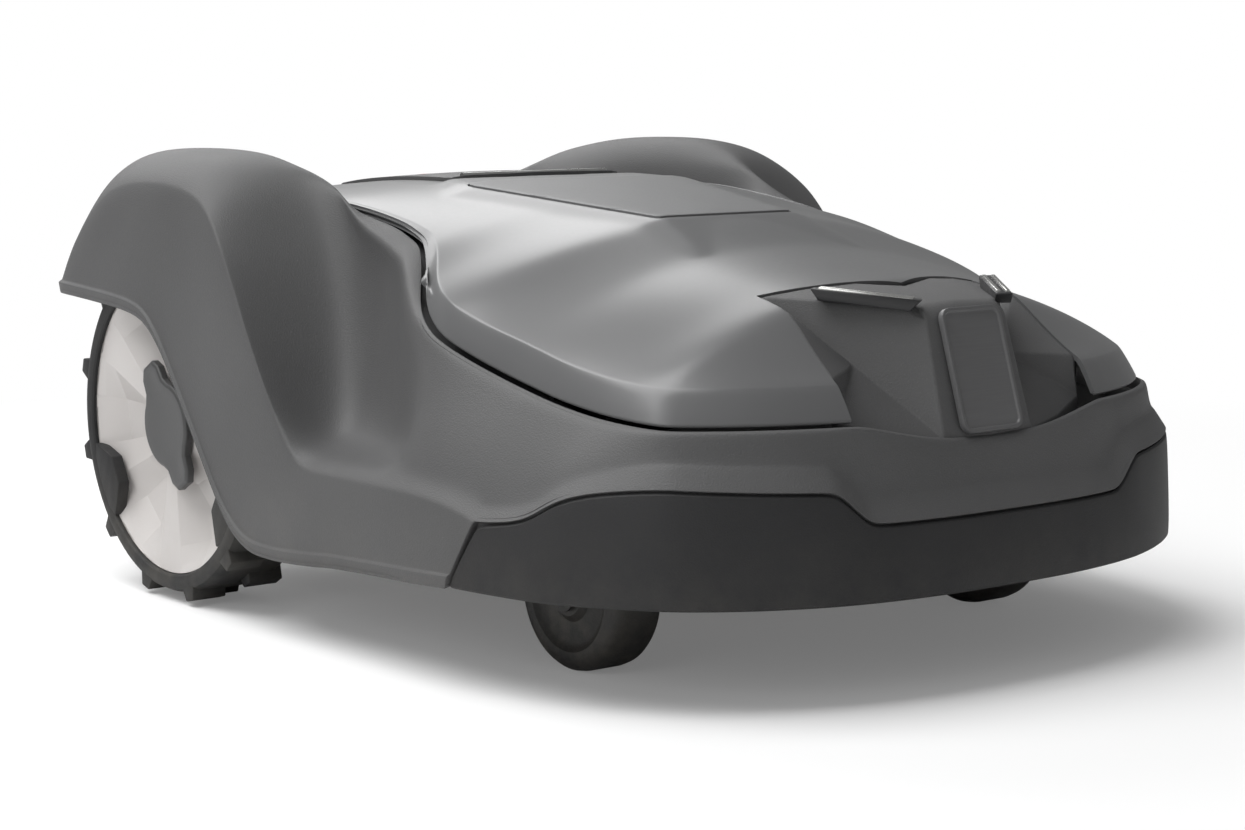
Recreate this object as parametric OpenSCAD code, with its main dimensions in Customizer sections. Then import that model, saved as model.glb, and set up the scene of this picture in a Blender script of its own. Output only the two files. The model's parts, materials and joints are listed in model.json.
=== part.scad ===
// Robotic lawn mower. Millimetres, +Z up, front towards -Y, origin on the ground below the middle.

/* [Body] */
// Length over the shell, bumper to rear
body_l = 720; // [700:5:760]
// Width over the rear wheel arches
body_w = 560; // [540:5:600]
// Height of the wheel arches above the ground
body_h = 310; // [304:2:330]
// Wall of the moulded shell
wall = 3; // [2:0.5:4]
// Depth of the rounded front in plan
front_round = 247; // [225:1:270]
// Lower edge of the skirt above the ground
skirt_z = 61; // [56:1:66]
// Thickness of the soft front bumper
bumper_t = 5; // [4:0.5:7]
// Visible gap round the top cover
seam_gap = 1.2; // [0.8:0.2:2]
// Thickness of the top cover
cover_t = 3; // [2:0.5:3.5]

/* [Nose] */
// Half width of the nose at its front edge
nose_front_w = 33; // [28:1:38]
// Half width of the nose where it leaves the cover
nose_rear_w = 90; // [84:1:94]
// Height of the front edge of the nose above the ground
nose_z = 225; // [218:1:232]
// Length of a charging contact
contact_l = 66; // [60:1:70]
// Width of a charging contact
contact_w = 9; // [7:1:11]

/* [Drive wheels] */
// Diameter over the lugs
wheel_d = 244; // [236:2:250]
// Width of the tyre
tyre_w = 56; // [50:1:58]
// Height of a tread lug
lug_h = 6.5; // [4:0.5:8]
// Lugs in each of the two staggered rows
lug_count = 12; // [10:1:14]
// Diameter of the drive axle
axle_d = 14; // [12:1:16]
// Distance of the axle from the rear end
axle_from_rear = 177; // [174:1:182]

/* [Casters] */
// Diameter of a front wheel
caster_d = 100; // [90:1:102]
// Width of a front wheel
caster_w = 38; // [34:1:40]
// Trail of the wheel behind its swivel
caster_trail = 25; // [20:1:28]
// Distance of a caster from the middle
caster_x = 168; // [164:1:170]
// Diameter of the caster stem
stem_d = 12; // [10:1:14]

/* [Cutting unit] */
// Diameter of the cutting disc
disc_d = 210; // [190:1:220]
// Distance of the disc's top above the ground at the highest setting
disc_z = 64; // [62:1:66]
// Length of a pivoting blade
blade_l = 36; // [32:1:40]
// Diameter of the cutter shaft
shaft_d = 10; // [8:1:12]
// Diameter of the height spindle
spindle_d = 8; // [6:1:10]

/* [Chassis] */
// Half width of the chassis box
box_w = 158; // [152:1:160]
// Underside of the chassis above the ground
box_z = 84; // [82:1:88]
// Depth of the lower tub
tub_h = 66; // [62:1:70]
// Wall of the chassis mouldings
box_wall = 3.5; // [2.5:0.5:4.5]
// Travel of the floating shell forwards and backwards from rest
bump_travel = 6; // [4:1:8]

/* [Hatch] */
// Half width of the hatch
hatch_w = 76; // [70:1:82]
// Length of the hatch
hatch_l = 156; // [150:1:158]

/* [Hidden] */

// Places shared by several pieces
half_w = body_w / 2;
front_y = -body_l / 2;
rear_y = body_l / 2;
axle_y = rear_y - axle_from_rear;
axle_z = wheel_d / 2;
clear = 0.3;                 // gap between pieces that seat on each other
run = 0.05;                  // running clearance of a shaft, on the radius

// Plan outline of the skirt
side_flare = 5;              // the sides widen by this much from the front arc to the wheels
arc_power = 2.5;
arc_x = half_w - side_flare;
arc_y = front_y + front_round;

function arc_point(a) = [arc_x * pow(sin(a), 2 / arc_power),
    arc_y - front_round * pow(cos(a), 2 / arc_power)];
function outline_x(y) = y < arc_y
    ? arc_x * pow(max(0, 1 - pow((arc_y - y) / front_round, arc_power)), 1 / arc_power)
    : arc_x + (side_flare - 1.2) * min(1, (y - arc_y) / (axle_y - arc_y));
function bottom_z(y) = skirt_z - lookup(y - front_y, [[180, 0], [290, 4], [365, 10], [405, 11], [460, 6]]);

// Height of the bumper's upper seam by angle round the front arc, with its two raised cheeks
notch = 45;                  // seam above the skirt's lower edge at the middle
cheek = 68;                  // and on the cheeks
tail = 42;                   // and behind them
function seam_z(a) = skirt_z + lookup(a, [[0, notch], [17.5, notch], [22.5, cheek - 3],
    [55, cheek + 2]]);

// Edge of the top cover along each side: inset from the half width, distance from the front,
// drop from the top of the arches, height and width of the bevelled band, width of the body's
// ledge outside the gap
cover_rail = [
    [67, 117, 145, 22, 16, 23], [64, 135, 142.5, 22.5, 14, 23.5], [59.4, 158, 138.2, 23, 13, 24],
    [59, 160, 138, 23, 13, 24], [56, 198, 129, 24, 13, 26],
    [52, 230, 120, 23, 13, 27], [48, 261, 109, 22, 13, 26], [54, 286, 99, 20, 13, 23],
    [65, 306, 90, 18, 13, 20], [80, 326, 74, 13, 13, 18], [90, 342, 63, 9, 13, 17],
    [97, 355, 57, 7, 13, 16], [102, 385, 49, 5, 13, 16], [104, 426, 43, 5, 13, 15],
    [104, 473, 38, 5, 13, 14], [105, 530, 36, 5, 13, 14], [110, 590, 38, 5, 13, 18],
    [122, 645, 45, 5, 13, 28], [160, 671, 49, 5, 13, 18], [220, 682, 51, 5, 13, 20]];
rail_end = [half_w, 685, 51, 5, 13, 20];
front_seam = [22, 148, 23, 20, 9];   // inset, drop, band height, band width, ledge width
front_angles = [0, 6, 12, 17.5, 20, 22.5, 28, 34, 40, 49];
// Height of the cover along its middle, as drop from the top by distance from the front
spine = [[43, 125], [98, 74], [211, 58], [266, 40], [441, 23], [490, 21], [570, 24], [630, 33],
    [672, 46]];
function spine_z(y) = body_h - lookup(y - front_y, spine);

function inward(p, q) = let (d = q - p, n = norm(d)) [-d.y / n, d.x / n];
// Plan points of the outline at the stations, then of the seam beside them
side_y = [for (r = cover_rail) front_y + r[1]];
corner_r = 48;               // plan radius of the shell's rear corners
function outer_side(i) = let (y = side_y[i], n = len(cover_rail))
    i >= n - 3 ? [[half_w - 2, rear_y - corner_r], [half_w - 55, rear_y - 5], [110, rear_y - 1.5]][i - n + 3]
    : [outline_x(y), y];
outer = concat([for (a = front_angles) arc_point(a)],
    [for (i = [0:len(cover_rail) - 1]) outer_side(i)], [[0, rear_y]]);
function arc_normal(a) = inward(arc_point(max(a - 0.5, 0.001)), arc_point(a + 0.5));
seam_plan = concat(
    [for (a = front_angles) arc_point(a) + front_seam[0] * (a == 0 ? [0, 1] : arc_normal(a))],
    [for (r = cover_rail) [half_w - r[0], front_y + r[1]]], [[0, front_y + rail_end[1]]]);
stations = len(seam_plan);
arcs = len(front_angles);
function row(i) = i < arcs ? [0, 0, front_seam[1], front_seam[2], front_seam[3], front_seam[4]]
    : i < stations - 1 ? cover_rail[i - arcs] : [0, 0, rail_end[2], rail_end[3], rail_end[4], rail_end[5]];
function normal_at(pts, i) = i == 0 ? [0, 1] : i == len(pts) - 1 ? [0, -1]
    : inward(pts[i - 1], pts[i + 1]);
function shoulder_z(i) = i < arcs ? seam_z(front_angles[i]) + 1
    : skirt_z + lookup(side_y[min(i - arcs, len(side_y) - 1)] - front_y,
        [[117, 66], [135, 48], [158, 44], [160, 45], [198, 50], [230, 53], [500, 53], [580, 125], [690, 140]]);
bumper_rows = arcs + 3;      // stations that the bumper spans

function at(p, n, d, z) = [max(0, p.x + n.x * d), p.y + n.y * d, z];
function outer_at(i, d, z) = at(outer[i], normal_at(outer, i), d, z);
function seam_at(i, d, z) = at(seam_plan[i], normal_at(seam_plan, i), d, z);
function cover_edge_z(i) = body_h - row(i)[2];
// Top surface of the cover: share w of the way from the crease to the middle line
spine_from = 150;
spine_to = 610;
function top_at(i, w, sink) = let (c = seam_at(i, row(i)[4], 0), e = cover_edge_z(i) + row(i)[3] - spine_z(c.y),
    ym = min(max(c.y, front_y + spine_from), front_y + spine_to), y = c.y + (ym - c.y) * w)
    [c.x * (1 - w), y, spine_z(y) + e * pow(1 - w, 2) - sink];

// A closed ring from its right half, and a solid skinned over a stack of rings
function ring(half) = concat(half, [for (i = [len(half) - 2:-1:1]) [-half[i].x, half[i].y, half[i].z]]);
function cap(n, base) = [for (i = [0:n / 2 - 1]) let (a = base + i, b = base + i + 1,
    c = base + (n - i - 1) % n, d = base + (n - i) % n)
    each (i == 0 ? [[a, b, c]] : i == n / 2 - 1 ? [[a, b, d]] : [[a, b, c], [a, c, d]])];
module skin(rings) {
    n = len(rings[0]);
    m = len(rings);
    sides = [for (r = [0:m - 2]) for (i = [0:n - 1]) let (a = r * n + i, b = r * n + (i + 1) % n)
        each [[a, a + n, b + n], [a, b + n, b]]];
    bottom = [for (f = cap(n, 0)) f];
    top = [for (f = cap(n, (m - 1) * n)) [f[2], f[1], f[0]]];
    polyhedron([for (r = rings) each r], concat(sides, bottom, top), convexity = 8);
}

// Solid under the shell's outer skin without the arches; t insets every face by the wall
deck_gap = 0.9;                 // between the deck and the cover's underside
deck_sink = cover_t + deck_gap;  // the deck lies this far below the cover's outer face
function recess(i) = i < bumper_rows ? bumper_t + clear : 0;
function torso_half(k, t) = [for (i = [0:stations - 1]) let (r = row(i), z = cover_edge_z(i), s = shoulder_z(i),
    u = recess(i), flat = i >= arcs + 4, low = t == 0 ? 0 : 5)
    k == 0 ? outer_at(i, u + t, bottom_z(outer[i].y))
    : k == 1 ? outer_at(i, u + 3 + t, s - 0.8 - t / 2)
    : k == 2 ? outer_at(i, 3 + t + (t == 0 ? 0 : u), s + 0.2 - t / 3)
    : k == 3 ? outer_at(i, 11 + t, s + (flat ? 7 : 12) - t)
    : k == 4 ? seam_at(i, -r[5] + t, (flat ? s + 12 : max(s + 14, min(s + 20, z - 20))) - t)
    : k == 5 ? seam_at(i, -min(12, r[5] * 0.7) + t, z - 12 - t)
    : k == 6 ? seam_at(i, -6 + t, z - 2.5 - t - low)
    : k == 7 ? seam_at(i, -seam_gap + t, z - t - low)
    : k == 8 ? seam_at(i, -seam_gap + t + 0.2, z - deck_sink - 3 - t - low / 2)
    : k == 9 ? top_at(i, 0.02, deck_sink + t)
    : top_at(i, [0.3, 0.6, 0.85][k - 10], deck_sink + t)];
// The shell is one skin: the outer face, the inner face and the rim between them; its deck is split
// into triangles as the cover's underside is, so that the two run parallel
module torso_shell(t) {
    rings = concat([for (k = [0:12]) ring(torso_half(k, 0))], [for (k = [0:12]) ring(torso_half(k, t))]);
    n = len(rings[0]);
    m = 13 * n;
    outer_sides = [for (r = [0:11]) for (i = [0:n - 1]) let (a = r * n + i, b = r * n + (i + 1) % n)
        each (r < 9 ? [[a, a + n, b + n], [a, b + n, b]] : [[a, a + n, b], [b, a + n, b + n]])];
    inner_sides = [for (f = outer_sides) [f[0] + m, f[2] + m, f[1] + m]];
    rim = [for (i = [0:n - 1]) let (b = (i + 1) % n) each [[i, b, m + b], [i, m + b, m + i]]];
    outer_top = [for (f = cap(n, 12 * n)) [f[2], f[1], f[0]]];
    inner_top = cap(n, m + 12 * n);
    polyhedron([for (r = rings) each r],
        concat(outer_sides, inner_sides, rim, outer_top, inner_top), convexity = 10);
}

// Wheel arch: side profiles at four depths in from the side, as [distance behind the axle, height]
arch_from = -175;
arch_slices = [
    [0, [[arch_from, skirt_z], [arch_from, 112], [-167, 117], [-118, 182], [-75, body_h - 70],
        [-45, body_h - 60], [37, body_h - 52], [80, body_h - 58], [138, body_h - 92],
        [146, body_h - 107], [150, skirt_z]]],
    [7, [[arch_from, skirt_z], [arch_from, 118], [-166, 122], [-121, 190], [-82, body_h - 62],
        [-60, body_h - 36], [37, body_h - 22], [82, body_h - 26], [150, body_h - 77],
        [156, body_h - 107], [158, skirt_z]]],
    [66, [[arch_from, skirt_z], [arch_from, 124], [-148, 128], [-134, 165], [-112, body_h - 90],
        [-82, body_h - 27], [25, body_h], [92, body_h], [155, body_h - 20], [172, body_h - 80],
        [174, skirt_z]]],
    [88, [[arch_from, skirt_z], [arch_from, 125.5], [-126, 130], [-108, 175], [-92, body_h - 70],
        [-65, body_h - 22], [15, body_h - 5], [95, body_h - 4], [155, body_h - 20],
        [172, body_h - 75], [174, skirt_z]]]];
function shrink(p, t) = [p.x + (p.x < -40 ? t : p.x > 120 ? -t : 0),
    p.y > 230 ? p.y - t : t > 0 && p.y <= skirt_z ? p.y - 40 : p.y];
module arch(t) {
    n = len(arch_slices[0][1]);
    m = len(arch_slices);
    pts = [for (s = arch_slices) for (p = s[1]) let (q = shrink(p, t))
        [half_w - s[0] + (s[0] < 50 ? -t : t), axle_y + q.x, q.y]];
    sides = [for (r = [0:m - 2]) for (i = [0:n - 1]) let (a = r * n + i, b = r * n + (i + 1) % n)
        each [[a, a + n, b + n], [a, b + n, b]]];
    polyhedron(pts, concat(sides, [[for (i = [0:n - 1]) i]],
        [[for (i = [n - 1:-1:0]) (m - 1) * n + i]]), convexity = 6);
}

// Lower edge of the arch over the wheel, as [distance behind the axle, height]
lip = [[200, 203], [155, 203.5], [75, 201], [45, 199], [19, 196], [5, 187], [-8.5, 174.5],
    [-37.5, 136], [-63, 102], [-89, 68], [-105, 54], [-127, 50], [-127, -20], [200, -20]];
rear_edge_z = 96;            // lower edge of the shell between the drive wheels

// Nose: a block that stands in the cover's cut-out; t moves its faces inwards
nose_front = 46;             // distance of its front edge from the front
nose_drop = 100;             // height of its front face
function nose_points(t) = let (low = t > 0 ? 30 : t < 0 ? 1 : 0) [
    [nose_front_w - t, front_y + nose_front + t, nose_z - t],
    [nose_rear_w - t, front_y + 128 - t, nose_z + 6 - t], [-1, front_y + 100 - t, nose_z + 10 - t],
    [nose_front_w + 1 - t, front_y + 22 + t, nose_z - nose_drop - low],
    [100 - 2 * t, front_y + 47 + t, 158 - t], [100 - 2 * t, front_y + 80 + t, 150 - low],
    [nose_rear_w - t, front_y + 128 - t, 160 - low], [-1, front_y + 100 - t, 160 - low],
    [-1, front_y + 46 + t, nose_z - t], [-1, front_y + 22 + t, nose_z - nose_drop - low]];
module nose(t) {
    p = nose_points(t);
    for (k = [0, 1]) mirror([k, 0, 0]) hull() for (g = [[0, 1, 2, 3], [4, 5, 6, 7], [8, 9, 4, 5]])
        polyhedron([for (i = g) p[i]], [[0, 1, 2], [0, 3, 1], [1, 3, 2], [2, 3, 0]]);
}
module nose_opening(g) {
    translate([0, front_y, 100]) linear_extrude(body_h) polygon([[-101 - g, 0], [-101 - g, 47],
        [-nose_rear_w - g, 128 + g], [0, 99 + g], [nose_rear_w + g, 128 + g], [101 + g, 47], [101 + g, 0]]);
}
plate_w = 46;
plate_h = 76;
plate_t = 4;
plate_lean = 13.8;
module nose_slab(g) {
    translate([0, front_y + 34.4, nose_z - 47]) rotate([-plate_lean, 0, 0])
        translate([0, 0.6, 0]) cube([plate_w + 2 * g, plate_t + g, plate_h + 2 * g], center = true);
}
contact_t = 6;
module contact_place() {
    translate([55, front_y + 73, nose_z + 4]) rotate([0, -5, 53.5]) children();
}
module contact_slab(g) {
    contact_place() cube([contact_l + 2 * g, contact_w + 2 * g, contact_t + 2 * g], center = true);
}
module contact_bars(g) {
    contact_place() for (k = [-1, 1]) translate([0, k * contact_w / 4, contact_t / 2])
        cube([contact_l - 8 + 2 * g, contact_w / 5 + 2 * g, 2 + 2 * g], center = true);
}

// Bumper: a band round the front, on the same stations as the shell behind it
function bumper_half(k) = [for (i = [0:bumper_rows - 1]) let (s = shoulder_z(i) - 1)
    k == 0 ? outer_at(i, bumper_t, bottom_z(outer[i].y) + 3) : k == 1 ? outer_at(i, 0, bottom_z(outer[i].y))
    : k == 2 ? outer_at(i, 3, s - 0.3) : outer_at(i, bumper_t + 3, s - 0.3)];
module front_bumper() {
    half = [for (k = [0:3]) bumper_half(k)];
    n = bumper_rows;
    pts = concat([for (i = [n - 1:-1:1]) for (k = [0:3]) [-half[k][i].x, half[k][i].y, half[k][i].z]],
        [for (i = [0:n - 1]) for (k = [0:3]) half[k][i]]);
    m = 2 * n - 1;
    color([0.1, 0.1, 0.1]) polyhedron(pts, concat(
        [for (i = [0:m - 2]) for (k = [0:3]) let (a = 4 * i + k, b = 4 * i + (k + 1) % 4)
            each [[a, a + 4, b + 4], [a, b + 4, b]]],
        [[0, 1, 2, 3], [for (k = [3:-1:0]) 4 * (m - 1) + k]]), convexity = 6);
}

// Hatch, its opening and its hinge
hatch_y = 112 - 360 - front_y;
hatch_raise = 6;
hinge_y = hatch_y + 7;
hinge_z = spine_z(hinge_y) + 0.5;
hinge_r = 2.5;
knuckle_r = 5.5;
knuckle_half = 54;
stop_y = hatch_y + hatch_l - 40;
stop_r = 24;
opening_w = 66;
opening_from = hatch_y + 18;
opening_to = hatch_y + hatch_l - 5;
lid_stations = [14, 40, 80, 120, hatch_l - 6, hatch_l];
module hatch_block(w, r, t) {
    translate([-w, 0, 0]) rotate([90, 0, 90]) linear_extrude(2 * w)
        polygon(concat([for (d = lid_stations) [hatch_y + d, spine_z(hatch_y + d) + r]],
            [for (i = [len(lid_stations) - 1:-1:0]) let (d = lid_stations[i])
                [hatch_y + d, spine_z(hatch_y + d) - t]]));
}

// Blank panel on the cover
panel_angle = atan(17 / 175);
module panel_prism(g, top, low) {
    translate([0, front_y + 353.5, body_h - 32]) rotate([panel_angle, 0, 0])
        translate([0, 0, -low]) linear_extrude(top + low) polygon([[-57 - g, -88 - g], [57 + g, -88 - g],
            [95 + g, 68], [93 + g, 76], [59, 88 + g], [-59, 88 + g], [-93 - g, 76], [-95 - g, 68]]);
}

// Shell
post_x = 118;
post_ys = [-50 - 360 - front_y, 215 - 360 - front_y];
post_r = 6;
post_top = 232;
post_ends = [body_h - 57, body_h - 36.5];    // inside the deck above each pair of posts
lid_top = box_z + tub_h + 55;
module post_places() {
    for (x = [-post_x, post_x]) for (y = post_ys) translate([x, y, 0]) children();
}
arch_in = half_w - 88;       // inner side of the wheel arches
module body_shell() {
    color([0.3, 0.3, 0.31]) difference() {
        union() {
            torso_shell(wall);
            for (x = [-post_x, post_x]) for (k = [0, 1]) translate([x, post_ys[k], post_top])
                cylinder(h = post_ends[k] - post_top, r = post_r + 4, $fn = 48);
            for (k = [-1, 1]) translate([k * (knuckle_half + 6), hinge_y, hinge_z - 3.5])
                cube([9, 10, 13], center = true);
        }
        for (k = [0, 1]) mirror([k, 0, 0]) {
            translate([arch_in - clear, axle_y + arch_from - clear, 0]) cube([200, body_l, body_h]);
            translate([150, axle_y - 20, 0]) cube([60, 40, 141]);
        }
        translate([-arch_in, axle_y + 30, -1]) cube([2 * arch_in, body_l, rear_edge_z + 1]);
        nose(-clear);
        nose_slab(clear);
        translate([-opening_w, opening_from, 200]) cube([2 * opening_w, opening_to - opening_from, 200]);
        translate([-knuckle_half - 0.5, hinge_y - knuckle_r - 1.5, 200])
            cube([2 * knuckle_half + 1, 20, 200]);
        translate([-100, hinge_y, hinge_z]) rotate([0, 90, 0]) cylinder(h = 200, r = hinge_r + 0.02, $fn = 32);
    }
}
module wheel_arch() {
    color([0.3, 0.3, 0.31]) difference() {
        arch(0);
        arch(wall);
        translate([arch_in - 1, axle_y, axle_z]) rotate([90, 0, 90]) translate([0, -axle_z, 0])
            linear_extrude(200) polygon(lip);
        translate([arch_in - 1, axle_y + arch_from + 6, -1]) cube([6, 300, 180]);
    }
}
module nose_block() {
    color([0.3, 0.3, 0.31]) difference() {
        nose(0);
        nose(wall);
        nose_slab(clear);
        for (k = [0, 1]) mirror([k, 0, 0]) contact_slab(clear);
    }
}
module cover_skin() {
    low = cover_t;
    skin([for (k = [0:9]) ring([for (i = [0:stations - 1]) let (r = row(i), z = cover_edge_z(i))
        k < 3 ? top_at(i, [0.85, 0.6, 0.3][k], low) : k == 3 ? top_at(i, 0.02, low)
        : k == 4 ? seam_at(i, 0.3, z - 1.8) : k == 5 ? seam_at(i, 0, z)
        : k == 6 ? top_at(i, 0, 0) : top_at(i, [0.3, 0.6, 0.85][k - 7], 0)])]);
}
module top_cover() {
    color([0.45, 0.45, 0.46]) difference() {
        cover_skin();
        nose_opening(seam_gap);
        translate([-hatch_w - seam_gap, hatch_y, 200])
            cube([2 * (hatch_w + seam_gap), hatch_l + seam_gap, 200]);
        panel_prism(clear, 30, 1.4);
    }
}
module top_panel() {
    color([0.3, 0.3, 0.3]) panel_prism(0, 1, 1.2);
}
module nose_plate() {
    color([0.5, 0.5, 0.5]) nose_slab(0);
}
module contact_holder() {
    color([0.08, 0.08, 0.08]) difference() {
        contact_slab(0);
        contact_bars(0.1);
    }
}
module contact_strip() {
    color([0.8, 0.8, 0.8]) contact_bars(0);
}
module hatch_lid() {
    color([0.22, 0.22, 0.23]) difference() {
        union() {
            hatch_block(hatch_w, hatch_raise, 2.6);
            translate([-knuckle_half, hinge_y, hinge_z]) rotate([0, 90, 0])
                cylinder(h = 2 * knuckle_half, r = knuckle_r, $fn = 48);
            translate([-knuckle_half, hinge_y, hinge_z - 2.5]) cube([2 * knuckle_half, 9, 8]);
        }
        translate([-100, hinge_y, hinge_z]) rotate([0, 90, 0]) cylinder(h = 200, r = hinge_r + run, $fn = 32);
        translate([0, stop_y, 200]) cylinder(h = 200, r = stop_r, $fn = 64);
        translate([0, stop_y, spine_z(stop_y) - 20]) cylinder(h = 20, r = stop_r + 4, $fn = 64);
    }
}
module stop_button() {
    color([0.8, 0.2, 0.1]) translate([0, stop_y, spine_z(stop_y)]) {
        translate([0, 0, -1]) cylinder(h = hatch_raise + 2.5, r = stop_r - run, $fn = 64);
        translate([0, 0, -3.1]) cylinder(h = 3, r = stop_r + 3.5, $fn = 64);
    }
}
module hatch_hinge_pin() {
    color([0.7, 0.7, 0.72]) translate([-knuckle_half - 10, hinge_y, hinge_z]) rotate([0, 90, 0])
        cylinder(h = 2 * knuckle_half + 20, r = hinge_r, $fn = 32);
}
module suspension_posts() {
    color([0.15, 0.15, 0.15]) post_places() translate([0, 0, lid_top + 2.2])
        cylinder(h = post_top - lid_top - 2.2, r = post_r, $fn = 48);
}
module suspension_boots() {
    color([0.05, 0.05, 0.05]) post_places() translate([0, 0, lid_top]) difference() {
        cylinder(h = 14, r = post_r + bump_travel + 7, $fn = 48);
        translate([0, 0, 2]) cylinder(h = 14, r = post_r + bump_travel + 2, $fn = 48);
    }
}

// Chassis
tub_front = -105 - 360 - front_y;
tub_rear = 256 - 360 - front_y;
tub_top = box_z + tub_h;
gasket_t = 2;
flange_t = 4;
lid_w = 140;
lid_front = tub_front + 18;
screw_x = box_w - 9;
screw_ys = [tub_front + 9, 55, tub_rear - 9];
pivot_y = -190 - 360 - front_y;
boss_r = 17;
cut_r = 46;
spindle_y = 62;
gear_x = 100;
gear_half = 34;
battery = [126, 34, 56];
battery_at = [-63, tub_rear - box_wall - battery.y - 3, box_z + box_wall + clear];
module screw_places() {
    for (x = [-screw_x, screw_x]) for (y = screw_ys) translate([x, y, 0]) children();
}
module chassis_tub() {
    long = tub_rear - tub_front;
    color([0.12, 0.12, 0.12]) difference() {
        union() {
            translate([-box_w, tub_front, box_z]) cube([2 * box_w, long, tub_h]);
            translate([0, 0, tub_top - 14]) linear_extrude(14)
                polygon([[-box_w + 8, tub_front + 1], [-caster_x - boss_r, tub_front - 40],
                    [-caster_x - boss_r, pivot_y], [-caster_x + 10, pivot_y - boss_r],
                    [caster_x - 10, pivot_y - boss_r], [caster_x + boss_r, pivot_y],
                    [caster_x + boss_r, tub_front - 40], [box_w - 8, tub_front + 1]]);
            for (k = [-1, 1]) translate([k * caster_x, pivot_y, caster_d + 18])
                cylinder(h = tub_top - caster_d - 18, r = boss_r, $fn = 64);
        }
        difference() {
            translate([-box_w + box_wall, tub_front + box_wall, box_z + box_wall])
                cube([2 * (box_w - box_wall), long - 2 * box_wall, tub_h]);
            screw_places() cylinder(h = tub_top, r = 6, $fn = 32);
            cylinder(h = tub_top - 42, r = cut_r + 5, $fn = 96);
            translate([0, spindle_y, 0]) cylinder(h = box_z + 10, r = 9, $fn = 48);
        }
        translate([0, 0, box_z - 1]) cylinder(h = tub_h + 2, r = cut_r + 1.5, $fn = 96);
        translate([0, spindle_y, box_z + 4]) cylinder(h = 20, r = spindle_d / 2 + run, $fn = 48);
        for (k = [-1, 1]) translate([k * caster_x, pivot_y, box_z])
            cylinder(h = tub_h + 1, r = stem_d / 2 + run, $fn = 48);
        translate([-half_w, axle_y, axle_z]) rotate([0, 90, 0])
            cylinder(h = body_w, r = axle_d / 2 + 1, $fn = 48);
        screw_places() translate([0, 0, tub_top - 15]) cylinder(h = 20, r = 2, $fn = 32);
        translate([battery_at.x - 6, battery_at.y - 6, box_z - 1]) cube([battery.x + 12, battery.y + 8, 3]);
        translate([-135, pivot_y + 12, tub_top - 15]) cube([270, 52, 8]);
    }
}
module chassis_gasket() {
    color([0.05, 0.05, 0.05]) translate([0, 0, tub_top]) difference() {
        translate([-box_w, tub_front, 0]) cube([2 * box_w, tub_rear - tub_front, gasket_t]);
        translate([-box_w + box_wall, tub_front + box_wall, -1])
            cube([2 * (box_w - box_wall), tub_rear - tub_front - 2 * box_wall, 9]);
    }
}
board_z = lid_top - 18;
module chassis_lid() {
    low = tub_top + gasket_t;
    color([0.14, 0.14, 0.14]) difference() {
        union() {
            translate([-box_w, tub_front, low]) cube([2 * box_w, tub_rear - tub_front, flange_t]);
            translate([-lid_w, lid_front, low]) cube([2 * lid_w, tub_rear - lid_front - 6, lid_top - low]);
        }
        difference() {
            translate([-lid_w + box_wall, lid_front + box_wall, low - 1])
                cube([2 * (lid_w - box_wall), tub_rear - lid_front - 6 - 2 * box_wall,
                    lid_top - low + 1 - box_wall]);
            for (x = [-60, 60]) for (y = [110, 190]) translate([x, y, board_z + 1.6])
                cylinder(h = 30, r = 4, $fn = 32);
        }
        screw_places() translate([0, 0, low - 1]) cylinder(h = 10, r = 2.3, $fn = 32);
    }
}
module chassis_screws() {
    color([0.6, 0.6, 0.6]) screw_places() translate([0, 0, tub_top - 14]) difference() {
        union() {
            cylinder(h = 14 + gasket_t + flange_t + 1, r = 1.95, $fn = 32);
            translate([0, 0, 14 + gasket_t + flange_t]) cylinder(h = 3, r = 4, $fn = 32);
        }
        translate([0, 0, 14 + gasket_t + flange_t + 1]) cylinder(h = 3, r = 2, $fn = 6);
    }
}
console_y = opening_from + 10;
console_l = opening_to - opening_from - 20;
console_top = 250;
dial_y = console_y + 84;
module console_panel() {
    color([0.08, 0.08, 0.08]) difference() {
        translate([-56, console_y, lid_top]) cube([112, console_l, console_top - lid_top]);
        translate([-52, console_y + 4, lid_top - 1]) cube([104, console_l - 8, console_top - lid_top - 5]);
        translate([-36, console_y + 10, console_top - 2]) cube([72, 44, 3]);
        translate([-14, dial_y, 200]) cylinder(h = 99, r = 4 + run, $fn = 48);
        translate([30, dial_y, 200]) cylinder(h = 99, r = 8 + run, $fn = 48);
    }
}
module display_lens() {
    color([0.02, 0.05, 0.04]) translate([-35.7, console_y + 10.3, console_top - 2]) cube([71.4, 43.4, 2.4]);
}
module control_dial() {
    color([0.15, 0.15, 0.15]) translate([-14, dial_y, console_top + clear]) {
        cylinder(h = 9, r = 17, $fn = 64);
        translate([0, 0, -12]) cylinder(h = 13, r = 4, $fn = 48);
    }
}
module power_button() {
    color([0.15, 0.4, 0.15]) translate([30, dial_y, console_top - 8]) cylinder(h = 12, r = 8, $fn = 48);
}
module main_board() {
    color([0.05, 0.3, 0.12]) {
        translate([-70, 100, board_z]) cube([140, 100, 1.6]);
        for (p = [[-50, 120], [-10, 130], [30, 125], [10, 165]]) translate([p.x, p.y, board_z - 8])
            cube([22, 16, 9]);
    }
}
module battery_pack() {
    color([0.1, 0.12, 0.3]) translate(battery_at) cube(battery);
}
module battery_cover() {
    color([0.13, 0.13, 0.13]) difference() {
        translate([battery_at.x - 5.7, battery_at.y - 5.7, box_z - 1])
            cube([battery.x + 11.4, battery.y + 7.4, 2.8]);
        for (k = [-1, 1]) translate([k * 64, battery_at.y + battery.y / 2, box_z - 2])
            cylinder(h = 9, r = 2, $fn = 32);
    }
}
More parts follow.
